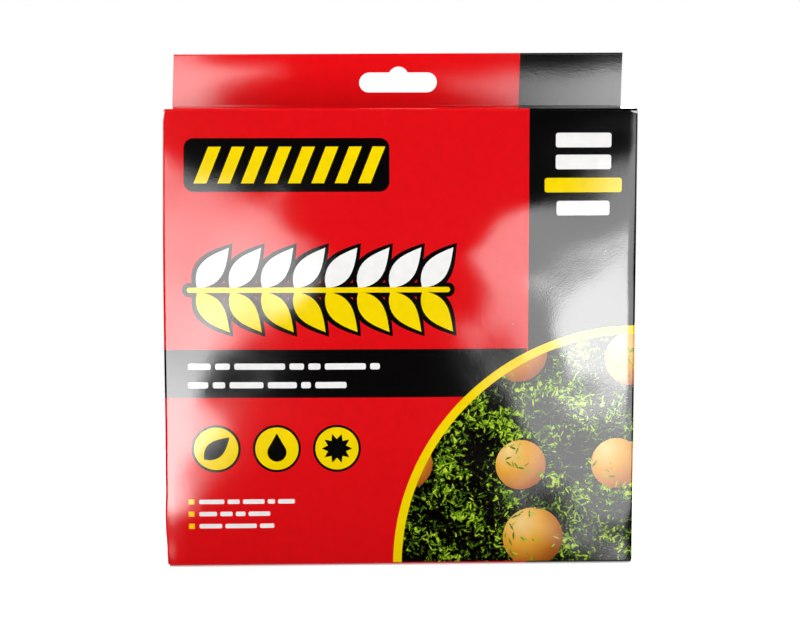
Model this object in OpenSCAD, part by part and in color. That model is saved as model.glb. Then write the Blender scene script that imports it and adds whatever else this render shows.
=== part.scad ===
// Boxed hanging insect trap: a tuck-end display carton with a hang tab, and the bag trap
// that stands flat-packed in it. The carton is drawn around the trap.
// +X is right, +Y is back, +Z is up. The origin is the middle of the carton's foot.

/* [Trap lid] */
// Outside diameter of the yellow lid ring
ring_d = 175; // [160:1:210]
// Wall of the lid ring's skirt
ring_wall = 1.8; // [1.2:0.1:3]
// Height of the rim that stands round the lid's deck
ring_lip = 2; // [1:0.5:4]
// Depth of the skirt behind the feet of the cap posts
skirt_room = 1.9; // [0.5:0.1:6]
// Thickness of the lid's deck
deck_t = 1.6; // [1:0.1:2.4]
// Diameter of the hole that flies enter by
entry_d = 63; // [40:1:70]
// Wall of the collar round the entry
collar_wall = 2.2; // [1.4:0.1:3]
// Free depth between the collar and the folded bag
collar_room = 3.2; // [1:0.2:8]

/* [Cap] */
// Corner radius of the cap plate and of its base
cap_corner_r = 6; // [3:0.5:10]
// Thickness of the cap plate
cap_plate_t = 2.4; // [1.6:0.1:4]
// Thickness of the cap's base
cap_base_t = 2; // [1.4:0.1:3]
// How far the cap is drawn up to open the entry
cap_travel = 10; // [6:0.5:11]
// Diameter of a cap post
post_d = 7; // [5:0.5:8]
// Width of deck between the collar's hole and a post's foot
post_web = 8; // [4:0.5:14]
// Distance of a post from the plate's sharp corner, along the diagonal
post_inset = 8.5; // [7:0.5:14]
// Width of the stop round a post's foot
foot_rim = 1.3; // [0.8:0.1:1.6]
// Thickness of a post's foot
foot_t = 1.2; // [0.8:0.1:2]

/* [Bag and bait] */
// Thickness of the gathered bag film in the lid's skirt
cuff_t = 0.4; // [0.3:0.05:0.8]
// Width of the clamp ring that holds the bag in the skirt
clamp_w = 2.5; // [1.5:0.1:4]
// Height of the clamp ring
clamp_h = 6; // [4:0.5:9]
// Thickness of folded film between the lid and the bait sachet
bag_fold_t = 5.3; // [3:0.1:9]
// Free height between the folded bag and the tips of the tuck tongues
bag_clear = 2.5; // [1:0.1:8]
// Thickness of the film web between cuff and folded bag
web_t = 0.6; // [0.4:0.1:1.2]
// Wall of the folded entry sleeve
sleeve_t = 1.4; // [0.8:0.1:2.5]
// Width of the bait sachet
sachet_w = 60; // [40:1:80]
// Height of the bait sachet
sachet_h = 80; // [50:1:90]
// Thickness of the bait sachet
sachet_t = 4; // [2:0.5:6]

/* [Hanging cord] */
// Diameter of the hanging cord
cord_d = 1.6; // [1.2:0.1:2]
// Width of deck between the cap's corners and the cord's loops
cord_room = 13.3; // [4:0.1:16]
// How far the loops spiral in and out from the middle radius
cord_sway = 4; // [3:0.5:6]
// Height that the cord passes over itself
cord_over_gap = 0.6; // [0.5:0.1:2]
// Diameter of a cord knot
knot_d = 2.6; // [2.2:0.1:3.2]
// Length of a cord knot
knot_l = 5; // [3:0.5:8]

/* [Leaflet] */
// Width of the folded leaflet
leaflet_w = 110; // [70:1:112]
// Height of the folded leaflet
leaflet_h = 150; // [100:1:170]
// Thickness of the folded leaflet
leaflet_t = 0.8; // [0.4:0.1:1.4]

/* [Carton] */
// Thickness of the folding boxboard
board_t = 0.45; // [0.3:0.05:0.7]
// Free width beside the lid ring, on each side
side_room = 9.5; // [8:0.5:16]
// Free height between the lid ring and the top dust flaps
head_room = 14.2; // [10:0.2:24]
// Free depth between the leaflet and the raised cap
front_room = 0.6; // [0.4:0.1:4]
// Free depth between the folded bag and the back panel
rear_room = 4.8; // [4.4:0.1:10]
// Length of a tuck tongue
tongue_l = 13; // [9:0.5:15]
// Corner radius of a tuck tongue
tongue_r = 9; // [4:0.5:9]
// Length of a dust flap
dust_l = 38; // [24:1:39]
// Slant of a dust flap's rear edge, over its length
dust_slant = 4; // [0:0.5:8]
// Width of the glue flap on the side seam
glue_w = 15; // [10:0.5:20]
// Distance of the glue flap's ends from the dust flaps
glue_short = 2; // [1.5:0.1:6]
// Length of the slanted ends of the glue flap
glue_slant = 6; // [3:0.5:10]

/* [Hang tab] */
// Height of the tab above the top panel
tab_h = 22.5; // [20:0.5:34]
// Length that the tab's front ply runs down inside the carton
ply_run = 9; // [6:0.5:11]
// Inset of the tab's side edges from the carton's sides
tab_inset = 0.3; // [0:0.1:4]
// Width of the hanging slot
slot_w = 33.7; // [28:0.1:40]
// Height of the hanging slot without its bump
slot_h = 8.5; // [6:0.1:10]
// Distance from the tab's top edge to the slot
slot_drop = 8.1; // [7:0.1:12]
// Width of the bump in the slot's upper edge
bump_w = 8; // [6:0.1:10]
// Rise of the bump above the slot
bump_rise = 2.5; // [1.5:0.1:3]

/* [Clearances] */
// Gap between board pieces that fold on each other
crease_gap = 0.1; // [0.05:0.05:0.2]
// Gap under a piece that stands or lies on another
seat_gap = 0.3; // [0.1:0.1:0.5]
// Gap round a piece that slides or snaps into another
slide_gap = 0.2; // [0.1:0.05:0.4]
// Gap left between a tongue's tip and the rear wall as the flap swings
swing_gap = 0.3; // [0.2:0.1:0.8]

/* [Hidden] */
$fn = 96;

// How far a cut runs past the faces that it opens
cut_run = 1;

// Trap, measured along its axis from the deck's face, front positive
ring_r = ring_d / 2;
skirt_inner_r = ring_r - ring_wall;
foot_front = -deck_t - seat_gap - cap_travel;
skirt_h = foot_t - foot_front + skirt_room;
entry_r = entry_d / 2;
collar_r = entry_r + collar_wall;
deck_hole_r = collar_r + slide_gap;
post_ring_r = deck_hole_r + post_web + foot_rim + post_d / 2;
cap_side = (post_ring_r + post_inset) * sqrt(2);
cap_reach = cap_side / sqrt(2) - cap_corner_r * (sqrt(2) - 1);
cap_back = cap_base_t + seat_gap;
cap_front = cap_back + cap_plate_t;
post_hole_d = post_d + 2 * slide_gap;
post_angles = [45, 135, 225, 315];
cuff_outer_r = skirt_inner_r - slide_gap;
cuff_inner_r = cuff_outer_r - cuff_t;
clamp_outer_r = cuff_inner_r - slide_gap;
web_front = -skirt_h - slide_gap;
collar_l = -web_front - collar_room;
web_back = web_front - web_t;
bag_back = web_back - bag_fold_t - seat_gap - sachet_t;
bag_r = ring_r - tongue_l - bag_clear;
sleeve_r = entry_r - slide_gap;

// Hanging cord, laid one and a half turns round the cap
cord_turn = 540;
cord_start = 180;
cord_climb_from = 180;
cord_climb_to = 360;
cord_fall_from = 480;
cord_sides = 6;
cord_rings_per_turn = 24;
cord_loop_r = cap_reach + cord_room + cord_sway;
cord_low = knot_d / 2 + seat_gap;
cord_high = cord_low + cord_d + cord_over_gap;
cord_end_r = cord_loop_r + cord_sway;
eyelet_d = cord_d + 4 * slide_gap;

// Carton, drawn around the trap
carton_w = ring_d + 2 * (side_room + board_t);
flap_stack = 2 * board_t + crease_gap;
trap_z = board_t + seat_gap + ring_r;
carton_h = trap_z + ring_r + head_room + flap_stack;
front_stack = board_t + seat_gap + leaflet_t + front_room + cap_travel + cap_front;
carton_d = front_stack - bag_back + rear_room + 2 * board_t;
front_y = -carton_d / 2;
back_y = carton_d / 2;
lid_y = front_y + front_stack;
inner_x = carton_w / 2 - board_t;
clear_x = inner_x - board_t - seat_gap;
ply_y = back_y - 2 * board_t;
tongue_reach = ply_y - swing_gap - front_y;
tongue_y = front_y + sqrt(tongue_reach * tongue_reach - tongue_l * tongue_l);
dust_x = inner_x - crease_gap;
leaflet_y = front_y + board_t + seat_gap;
dust_front_y = leaflet_y + leaflet_t + seat_gap;
dust_back_y = tongue_y - board_t - 2 * seat_gap;
slot_rise = tab_h - slot_drop - slot_h / 2;
print_red = "#d5151b";
board_grey = "#c9c5bb";
lid_yellow = "#f2b21f";
cap_red = "#c8201c";

// Flat outlines

// Rectangle about the origin with round corners
module rounded_rect(w, h, r) {
    square([w - 2 * r, h], center = true);
    square([w, h - 2 * r], center = true);
    for (sx = [-1, 1], sy = [-1, 1])
        translate([sx * (w / 2 - r), sy * (h / 2 - r)]) circle(r);
}

// Hanging slot with round ends and a bump in its upper edge
module hang_slot() {
    bump_r = (bump_w * bump_w / 4 + bump_rise * bump_rise) / (2 * bump_rise);
    square([slot_w - slot_h, slot_h], center = true);
    for (side = [-1, 1])
        translate([side * (slot_w - slot_h) / 2, 0]) circle(d = slot_h);
    intersection() {
        translate([0, slot_h / 2 + bump_rise - bump_r]) circle(bump_r);
        translate([-bump_w / 2, 0]) square([bump_w, slot_h / 2 + bump_rise]);
    }
}

// Tuck tongue with round free corners, hanging down from y = 0, that passes the glue flap
module tongue_outline() {
    w = 2 * clear_x;
    l = tongue_l - board_t - crease_gap;
    intersection() {
        translate([-w / 2, -l]) square([w, l]);
        translate([0, tongue_l - l]) rounded_rect(w, 2 * tongue_l, tongue_r);
    }
}

// Dust flap that runs along +X from its crease, with a slanted rear edge
module dust_outline() {
    polygon([[0, dust_front_y], [dust_l, dust_front_y + dust_slant],
        [dust_l, dust_back_y - dust_slant], [0, dust_back_y]]);
}

// Placing

// Turns a piece drawn along the trap's axis to face the carton's front
module trap_at() {
    translate([0, lid_y, trap_z]) rotate([90, 0, 0]) children();
}

// Stands a flat outline up, with its thickness running back from y
module upright(y, z) {
    translate([0, y + board_t, z]) rotate([90, 0, 0]) linear_extrude(board_t) children();
}

// Copies at the four posts
module at_posts() {
    for (angle = post_angles)
        rotate(angle) translate([post_ring_r, 0]) children();
}

// Carton

module front_panel() {
    color(print_red) translate([-carton_w / 2, front_y, 0]) cube([carton_w, board_t, carton_h]);
}

module side_panel(side) {
    low = board_t + crease_gap;
    color(print_red) translate([side > 0 ? inner_x : -carton_w / 2, front_y + board_t, low])
        cube([board_t, carton_d - 2 * board_t, carton_h - 2 * low]);
}

module back_panel() {
    color(print_red) translate([-carton_w / 2, back_y - board_t, 0])
        cube([carton_w, board_t, carton_h]);
}

// Strip folded in from the back panel and glued inside the right side panel
module glue_flap() {
    low = flap_stack + glue_short;
    high = carton_h - low;
    end_y = back_y - board_t - crease_gap;
    color(board_grey) translate([inner_x - board_t, 0, 0]) rotate([90, 0, 90])
        linear_extrude(board_t)
            polygon([[end_y, low], [end_y, high], [end_y - glue_w, high - glue_slant],
                [end_y - glue_w, low + glue_slant]]);
}

// One ply of the hang tab, and the length that it runs down inside the carton
module tab_ply(y, run) {
    w = carton_w - 2 * tab_inset;
    color(print_red) upright(y, carton_h) difference() {
        union() {
            translate([-w / 2, 0]) square([w, tab_h]);
            if (run > 0) translate([-clear_x, -run]) square([2 * clear_x, run + cut_run]);
        }
        translate([0, slot_rise]) hang_slot();
    }
}

module end_panel(z) {
    w = carton_w - 2 * crease_gap;
    near_y = front_y + board_t + crease_gap;
    color(print_red) translate([-w / 2, near_y, z]) cube([w, tongue_y - near_y, board_t]);
}

module top_tongue() {
    color(print_red) upright(tongue_y - board_t, carton_h - board_t - crease_gap)
        tongue_outline();
}

module bottom_tongue() {
    color(print_red) upright(tongue_y - board_t, board_t + crease_gap)
        mirror([0, 1]) tongue_outline();
}

// Dust flap on one side panel, at the height of its underside
module dust_flap(side, z) {
    color(board_grey) translate([0, 0, z]) mirror([side > 0 ? 1 : 0, 0, 0])
        translate([-dust_x, 0, 0]) linear_extrude(board_t) dust_outline();
}

// Trap

module lid_ring() {
    color(lid_yellow) trap_at() difference() {
        rotate_extrude() polygon([[deck_hole_r, 0], [skirt_inner_r, 0],
            [skirt_inner_r, ring_lip], [ring_r, ring_lip], [ring_r, -skirt_h],
            [skirt_inner_r, -skirt_h], [skirt_inner_r, -deck_t], [deck_hole_r, -deck_t]]);
        translate([0, 0, -deck_t - cut_run]) {
            at_posts() cylinder(d = post_hole_d, h = deck_t + 2 * cut_run);
            for (side = [-1, 1])
                translate([side * cord_end_r, knot_l / 2])
                    cylinder(d = eyelet_d, h = deck_t + 2 * cut_run);
        }
    }
}

// Square flange on the deck, with the collar that snaps through the deck's hole
module cap_base() {
    color(cap_red) trap_at() difference() {
        union() {
            linear_extrude(cap_base_t) rounded_rect(cap_side, cap_side, cap_corner_r);
            translate([0, 0, -collar_l]) cylinder(r = collar_r, h = collar_l + cap_base_t);
        }
        translate([0, 0, -collar_l - cut_run])
            cylinder(r = entry_r, h = collar_l + cap_base_t + 2 * cut_run);
        translate([0, 0, -cut_run]) at_posts()
            cylinder(d = post_hole_d, h = cap_base_t + 2 * cut_run);
    }
}

module cap_plate() {
    color(cap_red) trap_at() translate([0, 0, cap_back])
        linear_extrude(cap_plate_t) rounded_rect(cap_side, cap_side, cap_corner_r);
}

// Four posts under the plate, each with a foot that stops the cap at full height
module cap_posts() {
    color(cap_red) trap_at() at_posts() {
        translate([0, 0, foot_front]) cylinder(d = post_d, h = cap_back - foot_front);
        translate([0, 0, foot_front - foot_t]) cylinder(d = post_d + 2 * foot_rim, h = foot_t);
    }
}

// Film sleeve folded up inside the collar
module entry_sleeve() {
    sleeve_l = -web_front - seat_gap;
    color("gainsboro") trap_at() translate([0, 0, -sleeve_l]) difference() {
        cylinder(r = sleeve_r, h = sleeve_l);
        translate([0, 0, -cut_run]) cylinder(r = sleeve_r - sleeve_t, h = sleeve_l + 2 * cut_run);
    }
}

module bag_clamp_ring() {
    color(lid_yellow) trap_at() translate([0, 0, -skirt_h]) difference() {
        cylinder(r = clamp_outer_r, h = clamp_h);
        translate([0, 0, -cut_run])
            cylinder(r = clamp_outer_r - clamp_w, h = clamp_h + 2 * cut_run);
    }
}

// Bag folded to a disc behind the lid, with its mouth gathered in the skirt
module bag() {
    color("whitesmoke") trap_at() difference() {
        rotate_extrude() polygon([[0, web_front], [cuff_inner_r, web_front],
            [cuff_inner_r, clamp_h - skirt_h], [cuff_outer_r, clamp_h - skirt_h],
            [cuff_outer_r, web_back], [bag_r, web_back], [bag_r, bag_back], [0, bag_back]]);
        translate([0, 0, bag_back - cut_run]) linear_extrude(cut_run + sachet_t + seat_gap)
            square([sachet_w + 2 * seat_gap, sachet_h + 2 * seat_gap], center = true);
    }
}

module bait_sachet() {
    color("tan") trap_at() translate([0, 0, bag_back]) linear_extrude(sachet_t)
        square([sachet_w, sachet_h], center = true);
}

// Cord route: angle turned so far gives radius, height and place
function ease(x) = let (t = min(1, max(0, x))) t * t * (3 - 2 * t);
function cord_r_at(turned) = cord_loop_r + cord_sway * cos(turned * 360 / cord_turn);
function cord_z_at(turned) = cord_low + (cord_high - cord_low)
    * (ease((turned - cord_climb_from) / (cord_climb_to - cord_climb_from))
        - ease((turned - cord_fall_from) / (cord_turn - cord_fall_from)));
function cord_at(turned) = [cord_r_at(turned) * cos(cord_start + turned),
    cord_r_at(turned) * sin(cord_start + turned), cord_z_at(turned)];
function unit(v) = v / norm(v);

cord_steps = round(cord_turn / 360 * cord_rings_per_turn);
cord_points = [for (i = [0 : cord_steps]) cord_at(cord_turn * i / cord_steps)];
cord_length = [for (i = 0, s = 0; i <= cord_steps;
    s = s + (i < cord_steps ? norm(cord_points[i + 1] - cord_points[i]) : 0), i = i + 1) s][cord_steps];
cord_far_steps = ceil(cord_rings_per_turn / 4);
cord_least_gap = min([for (i = [0 : cord_steps], j = [i + cord_far_steps : 1 : cord_steps])
    norm(cord_points[i] - cord_points[j])]) - cord_d;
echo(cord_length = cord_length, cord_least_gap = cord_least_gap);

// Direction of the cord at a ring: along the deck's circle at both ends
function cord_way(i) = i == 0 ? [0, -1, 0] : i == cord_steps ? [0, 1, 0]
    : unit(cord_points[i + 1] - cord_points[i - 1]);

// One ring of tube corners about a point of the route
function cord_ring(i) = let (along = cord_way(i), across = unit(cross(along, [0, 0, 1])),
    up = cross(across, along))
    [for (k = [0 : cord_sides - 1]) let (a = 360 * k / cord_sides)
        cord_points[i] + cord_d / 2 * (cos(a) * across + sin(a) * up)];

module hang_cord() {
    corners = [for (i = [0 : cord_steps]) each cord_ring(i)];
    last = cord_steps * cord_sides;
    walls = [for (i = [0 : cord_steps - 1], k = [0 : cord_sides - 1])
        let (a = i * cord_sides + k, b = i * cord_sides + (k + 1) % cord_sides)
            each [[a, b, b + cord_sides], [a, b + cord_sides, a + cord_sides]]];
    first_cap = [for (k = [1 : cord_sides - 2]) [0, k + 1, k]];
    last_cap = [for (k = [1 : cord_sides - 2]) [last, last + k, last + k + 1]];
    color("beige") trap_at() polyhedron(corners, concat(walls, first_cap, last_cap));
}

// Barrel knots over the two eyelets, one at each end of the cord
module cord_knots() {
    color("beige") trap_at() for (side = [-1, 1])
        translate([side * cord_end_r, knot_l, cord_low]) rotate([90, 0, 0])
            cylinder(d = knot_d, h = knot_l);
}

// Contents of the carton beside the trap

module leaflet() {
    color("white") translate([-leaflet_w / 2, leaflet_y, board_t + seat_gap])
        cube([leaflet_w, leaflet_t, leaflet_h]);
}

front_panel();
side_panel(-1);  // left_panel
side_panel(1);  // right_panel
back_panel();
glue_flap();
tab_ply(back_y - board_t, 0);  // tab_rear_ply
tab_ply(ply_y, ply_run);  // tab_front_ply
end_panel(carton_h - board_t);  // top_panel
top_tongue();
end_panel(0);  // bottom_panel
bottom_tongue();
dust_flap(-1, carton_h - flap_stack);  // top_left_dust_flap
dust_flap(1, carton_h - flap_stack);  // top_right_dust_flap
dust_flap(-1, board_t + crease_gap);  // bottom_left_dust_flap
dust_flap(1, board_t + crease_gap);  // bottom_right_dust_flap
lid_ring();
cap_base();
cap_plate();
cap_posts();
entry_sleeve();
bag_clamp_ring();
bag();
bait_sachet();
hang_cord();
cord_knots();
leaflet();
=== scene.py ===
"""Looks of the boxed hanging insect trap: the printed carton, the trap packed in it, and the stage.

The file is laid out as a Blender add-on. It registers one operator for each group of pieces and one
for the stage, and main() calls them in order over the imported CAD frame.
"""
import math
from functools import partial

import bmesh
import bpy
import numpy as np
from bpy.props import FloatProperty, FloatVectorProperty, IntProperty, PointerProperty, StringProperty
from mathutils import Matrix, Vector
from mathutils.geometry import delaunay_2d_cdt


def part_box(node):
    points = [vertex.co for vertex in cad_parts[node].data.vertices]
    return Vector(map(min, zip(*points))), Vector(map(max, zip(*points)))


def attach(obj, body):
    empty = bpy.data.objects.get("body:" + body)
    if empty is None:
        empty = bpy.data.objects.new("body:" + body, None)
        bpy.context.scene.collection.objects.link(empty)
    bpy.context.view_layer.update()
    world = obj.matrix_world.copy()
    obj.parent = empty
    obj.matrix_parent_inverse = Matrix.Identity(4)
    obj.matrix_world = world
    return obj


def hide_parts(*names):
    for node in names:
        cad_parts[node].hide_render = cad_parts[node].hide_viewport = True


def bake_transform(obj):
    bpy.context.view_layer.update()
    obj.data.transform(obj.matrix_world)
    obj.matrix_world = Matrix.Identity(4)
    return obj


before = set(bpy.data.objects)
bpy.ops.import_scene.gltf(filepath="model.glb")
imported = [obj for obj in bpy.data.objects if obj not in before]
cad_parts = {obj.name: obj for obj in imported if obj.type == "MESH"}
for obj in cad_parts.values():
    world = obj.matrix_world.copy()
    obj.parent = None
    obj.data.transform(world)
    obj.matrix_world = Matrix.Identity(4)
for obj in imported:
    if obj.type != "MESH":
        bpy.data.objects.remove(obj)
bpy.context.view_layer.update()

bl_info = {
    "name": "Boxed insect trap",
    "version": (1, 0, 0),
    "blender": (4, 5, 0),
    "location": "View3D > Sidebar > Boxed trap",
    "description": "Builds the looks of a boxed hanging insect trap over its CAD frame",
    "category": "Object",
}

MM = 0.001
QUARTER = math.pi / 2
ROUND = 2 * math.pi


# Settings

class CartonSettings(bpy.types.PropertyGroup):
    fold_radius: FloatProperty(
        name="Fold radius", description="Outer radius of the carton's folds",
        default=0.9 * MM, unit="LENGTH")
    dust_radius: FloatProperty(
        name="Dust flap radius", description="Outer radius of the dust flaps' creases",
        default=0.7 * MM, unit="LENGTH")
    ply_radius: FloatProperty(
        name="Tab fold radius", description="Outer radius of the fold at the hang tab's top",
        default=0.5 * MM, unit="LENGTH")
    bulge: FloatProperty(
        name="Front bulge", description="How far the packed carton's front bows out",
        default=2.0 * MM, unit="LENGTH")
    edge_bulge: FloatProperty(
        name="Edge bulge", description="How far the left upright edge bows out",
        default=0.9 * MM, unit="LENGTH")
    wave: FloatProperty(
        name="Wave", description="Height of the board's slow waves",
        default=0.12 * MM, unit="LENGTH")
    grid: FloatProperty(
        name="Grid", description="Widest spacing of the board's mesh",
        default=3.0 * MM, unit="LENGTH")
    column_from: FloatProperty(
        name="Column start", description="Where the black column starts, right of the middle",
        default=52.6 * MM, unit="LENGTH")
    red: StringProperty(name="Red ink", description="Ground colour", default="#dc0e14")
    black: StringProperty(name="Black ink", description="Colour of column and band", default="#070606")
    yellow: StringProperty(name="Yellow ink", description="Second print colour", default="#f3d400")
    white: StringProperty(name="White", description="Unprinted coated board", default="#f1f0ee")
    core: StringProperty(name="Board core", description="Cut edge and inner face", default="#cfcac0")


class TrapSettings(bpy.types.PropertyGroup):
    yellow: StringProperty(name="Lid yellow", description="Moulded lid and clamp ring", default="#e8b21a")
    red: StringProperty(name="Cap red", description="Moulded cap", default="#b8191a")
    film: StringProperty(name="Film", description="Clear film of bag and sleeve", default="#fafbfa")
    sachet: StringProperty(name="Sachet", description="Paper of the bait sachet", default="#cdb48c")
    cord: StringProperty(name="Cord", description="Twisted cord", default="#e4ddc9")
    paper: StringProperty(name="Leaflet", description="Paper of the leaflet", default="#ece9e1")
    soften: FloatProperty(
        name="Edge radius", description="Rounding of moulded edges",
        default=0.35 * MM, unit="LENGTH")
    ribs: IntProperty(name="Grip ribs", description="Ribs round the lid's skirt", default=72)
    film_thickness: FloatProperty(
        name="Film thickness", description="Thickness of one doubled film layer",
        default=0.16 * MM, unit="LENGTH")
    cord_pitch: FloatProperty(
        name="Cord pitch", description="Length of one turn of the cord's strands",
        default=5.0 * MM, unit="LENGTH")


class StageSettings(bpy.types.PropertyGroup):
    camera: FloatVectorProperty(
        name="Camera", description="Place of the camera",
        default=(-31.8 * MM, -837.2 * MM, 208.3 * MM), subtype="TRANSLATION")
    aim: FloatVectorProperty(
        name="Aim", description="Direction of the view",
        default=(0.0380, 0.9917, -0.1225), subtype="DIRECTION")
    lens: FloatProperty(
        name="Lens", description="Focal length in millimetres on a 36 mm sensor", default=89.0)
    softbox: FloatProperty(
        name="Softbox", description="Power of each front softbox, in watts", default=1.3)
    core: FloatProperty(
        name="Core", description="Power of each softbox's bright middle, in watts", default=0.5)
    key: FloatProperty(
        name="Front key", description="Power of the lamp above the camera, in watts", default=4.8)
    fill: FloatProperty(
        name="Fill", description="Power of each side and rear lamp, in watts", default=6.0)
    overhead: FloatProperty(
        name="Overhead", description="Power of the overhead lamp, in watts", default=8.0)
    floor_glow: FloatProperty(
        name="Floor glow", description="Light that comes through the floor's white paper", default=0.45)
    ambient: FloatProperty(name="Ambient", description="Strength of the room's light", default=0.25)


# Materials

def linear(code):
    """Linear colour of an sRGB hex code, with full alpha."""
    shares = [int(code[i:i + 2], 16) / 255 for i in (1, 3, 5)]
    return [s / 12.92 if s <= 0.04045 else ((s + 0.055) / 1.055) ** 2.4 for s in shares] + [1.0]


def add_node(tree, kind, inputs=None, **settings):
    """A node with its settings, and its inputs set to values or linked to sockets or nodes."""
    node = tree.nodes.new(kind)
    for name, value in settings.items():
        setattr(node, name, value)
    for key, value in (inputs or {}).items():
        if isinstance(value, bpy.types.Node):
            value = next(socket for socket in value.outputs if socket.enabled)
        if isinstance(value, bpy.types.NodeSocket):
            tree.links.new(value, node.inputs[key])
        else:
            node.inputs[key].default_value = value
    return node


def new_material(name):
    """An empty node material, what adds a node to it, and the object's own coordinates in it."""
    material = bpy.data.materials.new(name)
    material.use_nodes = True
    material.node_tree.nodes.clear()
    add = partial(add_node, material.node_tree)
    return material, add, add("ShaderNodeTexCoord").outputs["Object"]


def material_once(name, make, *values):
    """The material of that name, made on its first use."""
    return bpy.data.materials.get(name) or make(name, *values)


def set_ramp(node, *stops):
    """Gives a colour ramp its stops, each a place and a hex code."""
    ramp = node.color_ramp.elements
    while len(ramp) < len(stops):
        ramp.new(1.0)
    for element, (place, code) in zip(ramp, stops):
        element.position, element.color = place, linear(code)


def leaf_layer(add, place, ground, size, shift, dark, bright, cover):
    """Colour of scattered pointed leaves over a ground: one leaf in each cell of the given size."""
    moved = add("ShaderNodeVectorMath", {0: place, 1: shift}, operation="ADD")
    cells = add("ShaderNodeTexVoronoi", {"Vector": moved, "Scale": 1 / size}, voronoi_dimensions="2D")
    middle = cells.outputs["Position"]
    chance = add("ShaderNodeSeparateColor", {0: cells.outputs["Color"]})
    offset = add("ShaderNodeVectorMath", {0: moved, 1: middle}, operation="SUBTRACT")
    local = add("ShaderNodeVectorMath", {0: offset, "Scale": 1 / size}, operation="SCALE")
    # Leaves that grow side by side point much the same way
    flow = add("ShaderNodeTexNoise", {"Vector": middle, "Scale": 1 / (25 * MM), "Detail": 1.0})
    spray = add("ShaderNodeMath", {0: flow, 1: 5 * math.pi}, operation="MULTIPLY")
    angle = add("ShaderNodeMath", {0: chance.outputs[0], 1: 1.5, 2: spray}, operation="MULTIPLY_ADD")
    turned = add("ShaderNodeVectorRotate", {"Vector": local, "Angle": angle}, rotation_type="Z_AXIS")
    along = add("ShaderNodeSeparateXYZ", {0: turned})
    # A leaf is as long as its cell, widest in the middle and pointed at both ends
    half_width = 0.11
    square = add("ShaderNodeMath", {0: along.outputs[0], 1: along.outputs[0]}, operation="MULTIPLY")
    width = add("ShaderNodeMath", {0: square, 1: -4 * half_width, 2: half_width}, operation="MULTIPLY_ADD")
    across = add("ShaderNodeMath", {0: along.outputs[1]}, operation="ABSOLUTE")
    inside = add("ShaderNodeMath", {0: width, 1: across}, operation="SUBTRACT")
    edge = add("ShaderNodeMapRange", {"Value": inside, "From Min": 0.0, "From Max": 0.03})
    grown = add("ShaderNodeMath", {0: chance.outputs[2], 1: cover}, operation="LESS_THAN")
    mask = add("ShaderNodeMath", {0: edge, 1: grown}, operation="MULTIPLY")
    # A paler rib along each leaf's middle
    rib = add("ShaderNodeMapRange", {
        "Value": across, "From Min": 0.0, "From Max": 0.05, "To Min": 0.35, "To Max": 0.0})
    tone = add("ShaderNodeMath", {0: chance.outputs[1], 1: rib}, operation="ADD")
    leaves = add("ShaderNodeMix", {"Factor": tone, 6: linear(dark), 7: linear(bright)}, data_type="RGBA")
    return add("ShaderNodeMix", {"Factor": mask, 6: ground, 7: leaves}, data_type="RGBA")


def orchard_print(add, blank):
    """Colour of a printed picture of fruit among leaves, over the flat blank."""
    clumps = add("ShaderNodeTexNoise", {"Vector": blank, "Scale": 1 / (13.333 * MM), "Detail": 2.0})
    tufts = add("ShaderNodeTexNoise", {
        "Vector": blank, "Scale": 1 / (1.923 * MM), "Detail": 3.0, "Roughness": 0.55, "Distortion": 0.7})
    level = add("ShaderNodeMath", {0: clumps, 1: 0.55, 2: tufts}, operation="MULTIPLY_ADD")
    green = add("ShaderNodeValToRGB", {0: level})
    set_ramp(green, (0.72, "#050302"), (0.80, "#131307"), (0.85, "#33500d"), (0.91, "#7ea51b"),
             (0.98, "#c2d83a"))
    colour = leaf_layer(add, blank, green, 5.0 * MM, (0.53, 0.71, 0), "#11200a", "#41650f", 0.45)
    # Round fruit in most cells, lit from the upper left
    cells = add("ShaderNodeTexVoronoi", {
        "Vector": blank, "Scale": 1 / (41 * MM), "Randomness": 0.35}, voronoi_dimensions="2D")
    chance = add("ShaderNodeSeparateColor", {0: cells.outputs["Color"]})
    offset = add("ShaderNodeVectorMath", {0: blank, 1: cells.outputs["Position"]}, operation="SUBTRACT")
    lit = add("ShaderNodeVectorMath", {0: offset, 1: (-5 * MM, 6 * MM, 0)}, operation="DISTANCE")
    shade = add("ShaderNodeMapRange", {
        "Value": lit.outputs["Value"], "From Min": 0.0, "From Max": 24 * MM})
    skin = add("ShaderNodeValToRGB", {0: shade})
    set_ramp(skin, (0.0, "#f6d489"), (0.35, "#eaa93a"), (0.7, "#b2621c"), (1.0, "#43200d"))
    size = add("ShaderNodeMapRange", {"Value": chance.outputs[1], "To Min": 0.25, "To Max": 0.325})
    round_edge = add("ShaderNodeMath", {0: cells.outputs["Distance"], 1: size}, operation="LESS_THAN")
    grown = add("ShaderNodeMath", {0: chance.outputs[2], 1: 0.9}, operation="LESS_THAN")
    mask = add("ShaderNodeMath", {0: round_edge, 1: grown}, operation="MULTIPLY")
    colour = add("ShaderNodeMix", {"Factor": mask, 6: colour, 7: skin}, data_type="RGBA")
    # Smaller and brighter leaves in front, where the clumps are dense
    dense = add("ShaderNodeMapRange", {"Value": clumps, "From Min": 0.45, "From Max": 0.65})
    for size, shift, dark, bright in (
            (4.2 * MM, (0.11, 0.43, 0), "#2a450c", "#7fa71b"),
            (3.4 * MM, (0.67, 0.91, 0), "#4d7412", "#b5d336")):
        colour = leaf_layer(add, blank, colour, size, shift, dark, bright, dense)
    return colour


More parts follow.
